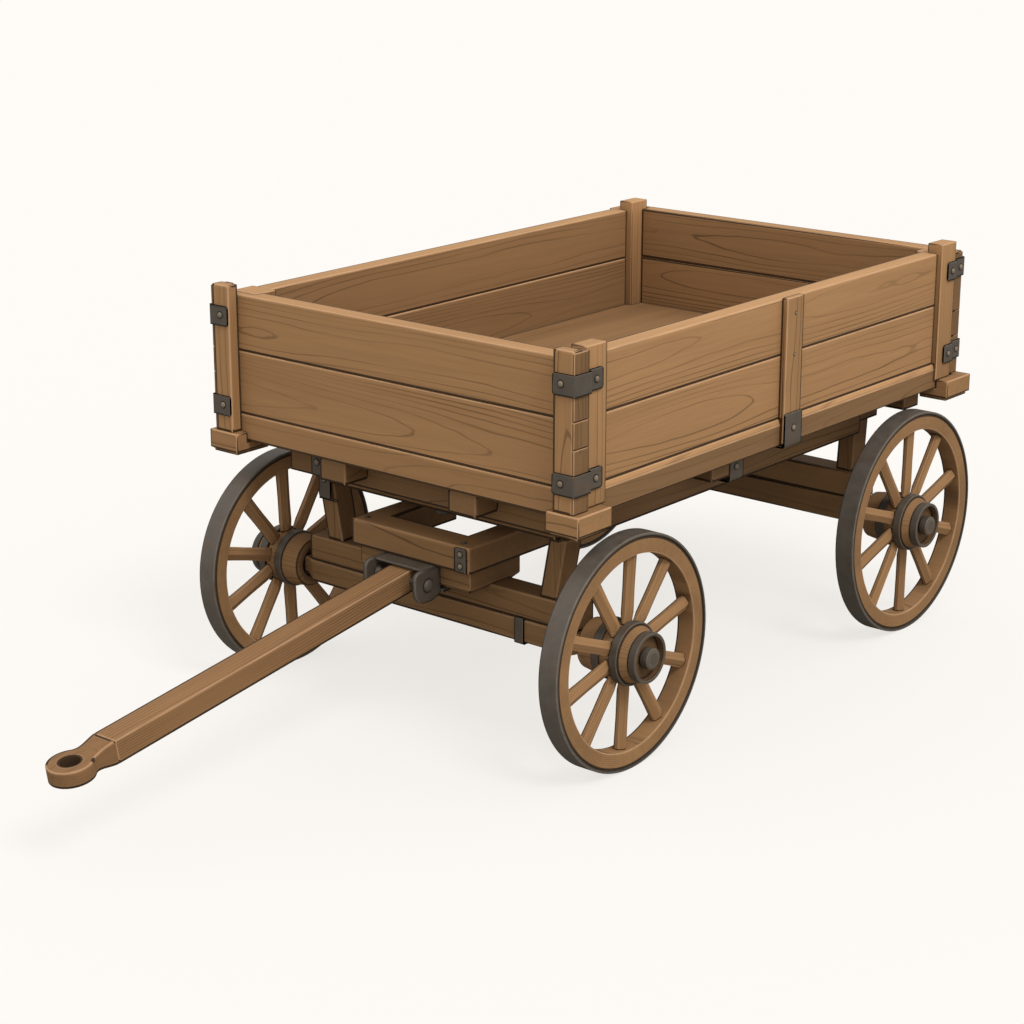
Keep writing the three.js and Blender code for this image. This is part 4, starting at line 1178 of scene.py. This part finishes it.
def add_floor():
    """A wide round floor, pale for the camera, that gives little light back to the cart."""
    bm = bmesh.new()
    bmesh.ops.create_circle(bm, cap_ends=True, radius=FLOOR_RADIUS, segments=96)
    mesh = bpy.data.meshes.new("ground")
    bm.to_mesh(mesh)
    bm.free()
    material = bpy.data.materials.new("ground")
    g = Graph(material)
    seen = g.node("ShaderNodeLightPath").outputs["Is Camera Ray"]
    diffuse = g.node("ShaderNodeBsdfDiffuse", {"Color": g.mix(seen, FLOOR_BOUNCE, FLOOR_SEEN)}).outputs[0]
    glow = g.node("ShaderNodeEmission", {"Color": linear(GROUND), "Strength": FLOOR_GLOW}).outputs[0]
    g.show(g.blend(g.times(seen, FLOOR_GLOW_SHARE), diffuse, glow))
    mesh.materials.append(material)
    linked("ground", mesh)


# The box. Shades darken or lighten a timber, or by place the faces of it that look into the box.
floor_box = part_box("floor")
INNER_SIDE = 272.3 * MM
INNER_END = 427.3 * MM
BOARD_TOP = 559.4 * MM
# TOP_PAINTED_LIGHT is painted light on the tops of the walls; SIDE_SHADE and END_SHADE are painted shade on
# their inner faces
TOP_PAINTED_LIGHT = 0.16
SIDE_SHADE = -0.3
END_SHADE = -0.19
SIDE_POST_SHADE = -0.17
# Painted light on the side sill's upward slope; the rest of the side sill is darker
SILL_LIT, SILL_DARK = 0.3, -0.4
HOUNDS_TOP = 270.5 * MM
SILL_LEDGE = (300.2, 393.1)  # across and up, where the slope of the side sill starts, and where it ends
SILL_SLOPE_END = (303.0, 385.5)
SILL_LIMIT = math.radians(15)
BLOCK_EDGES = (1.4 * MM, 1.8 * MM)
SIDE_POST_EDGES = (1.1 * MM, 1.4 * MM)
SILL_EDGES = (0.9 * MM, 1.8 * MM)
STAKE_EDGES = (1.2 * MM, 2.6 * MM)
SADDLE_EDGES = (1.0 * MM, 1.0 * MM)


def inside(axis, limit, shade, plain=0.0):
    """Painted shade for the faces of a wall that look into the box: points nearer the middle than the limit.
    The upper edges of the walls get painted light."""
    middle = (floor_box[0][axis] + floor_box[1][axis]) / 2

    def chosen(p):
        if p.z > BOARD_TOP:
            return TOP_PAINTED_LIGHT
        return shade if abs(p[axis] - middle) < limit else plain

    return chosen


def sill_shade(p):
    """The side sill is darker, with painted light on the slope along its upper edge, which faces up."""
    return SILL_LIT if p.z > 387 * MM and abs(p.y) > 300.3 * MM else SILL_DARK


def post_planes(end, side):
    """The plane that takes the end post's side off for its facing."""
    way = WAYS[side]
    outer = abs(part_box(f"end_post_{end}_{side}")[0 if way < 0 else 1].y) - FACING_CUT * MM
    return [(Vector((0, way * outer, 0)), Vector((0, way, 0)))]


def sill_planes(side):
    """The plane that cuts the slope along the side sill's upper edge."""
    way = WAYS[side]
    rise, fall = SILL_LEDGE[1] - SILL_SLOPE_END[1], SILL_SLOPE_END[0] - SILL_LEDGE[0]
    place = Vector((0, way * SILL_LEDGE[0], SILL_LEDGE[1])) * MM
    return [(place, Vector((0, way * rise, fall)).normalized())]


for end in ("front", "rear"):
    timber(end + "_sill", "yzx", "front_wood", -0.14)
    for row in ("lower", "upper"):
        timber(f"{end}_board_{row}", "yzx", "front_wood", inside(0, INNER_END, END_SHADE))
    for side in ("left", "right"):
        timber(f"corner_block_{end}_{side}", "yzx", "front_wood", -0.1, *BLOCK_EDGES)
        timber(f"end_post_{end}_{side}", "zyx", "front_wood", planes=post_planes(end, side))
        shade = inside(1, INNER_SIDE, SIDE_SHADE, SIDE_POST_SHADE)
        timber(f"side_post_{end}_{side}", "zxy", "side_wood", shade, *SIDE_POST_EDGES)
for side in ("left", "right"):
    timber("side_sill_" + side, "xzy", "side_wood", sill_shade, *SILL_EDGES, sill_planes(side), SILL_LIMIT)
    for row in ("lower", "upper"):
        timber(f"side_board_{row}_{side}", "xzy", "side_wood", inside(1, INNER_SIDE, SIDE_SHADE))
    timber("side_stake_" + side, "zxy", "side_wood", -0.08, *STAKE_EDGES)
    timber("joist_" + side, "xzy", "frame_wood")
    timber("longeron_" + side, "xzy", "frame_wood")
    timber("rear_strut_" + side, "zyx", "frame_wood")
    timber("front_strut_" + side, "zyx", "truck_wood")
timber("floor", "xyz", "floor_wood", 0.07)
for node in ("mid_cross_joist", "rear_cross_joist", "front_bolster", "rear_bolster", "rear_axle"):
    timber(node, "yzx", "frame_wood")
timber("rear_axle_bed", "yzx", "frame_wood", 0.45)
for node in ("front_axle", "front_axle_bed", "turntable_beam"):
    timber(node, "yzx", "truck_wood")
timber("saddle_block", "yzx", "truck_wood", 0.0, *SADDLE_EDGES)
# Painted light on the top of the hounds, which lies in the shade of the box
timber("hounds", "yzx", "truck_wood", lambda p: 0.65 if p.z > HOUNDS_TOP else 0.12)
add_clevis()
add_drawbar()
for name in PHASES:
    add_wheel(name)
for end in ("front", "rear"):
    add_axle(end)
for side in ("left", "right"):
    for end in ("front", "rear"):
        add_post_facing(end, side)
    for end in ("front", "rear"):
        add_straps(end, side)
    add_side_irons(side)
add_bolster_iron()
add_truck_irons()

kingpin = frame["nodes"]["kingpin"].data.materials
kingpin.clear()
kingpin.append(finishes["iron"])

add_camera()
add_world()
add_lamp()
add_floor()
bpy.context.scene.view_settings.view_transform = "Standard"
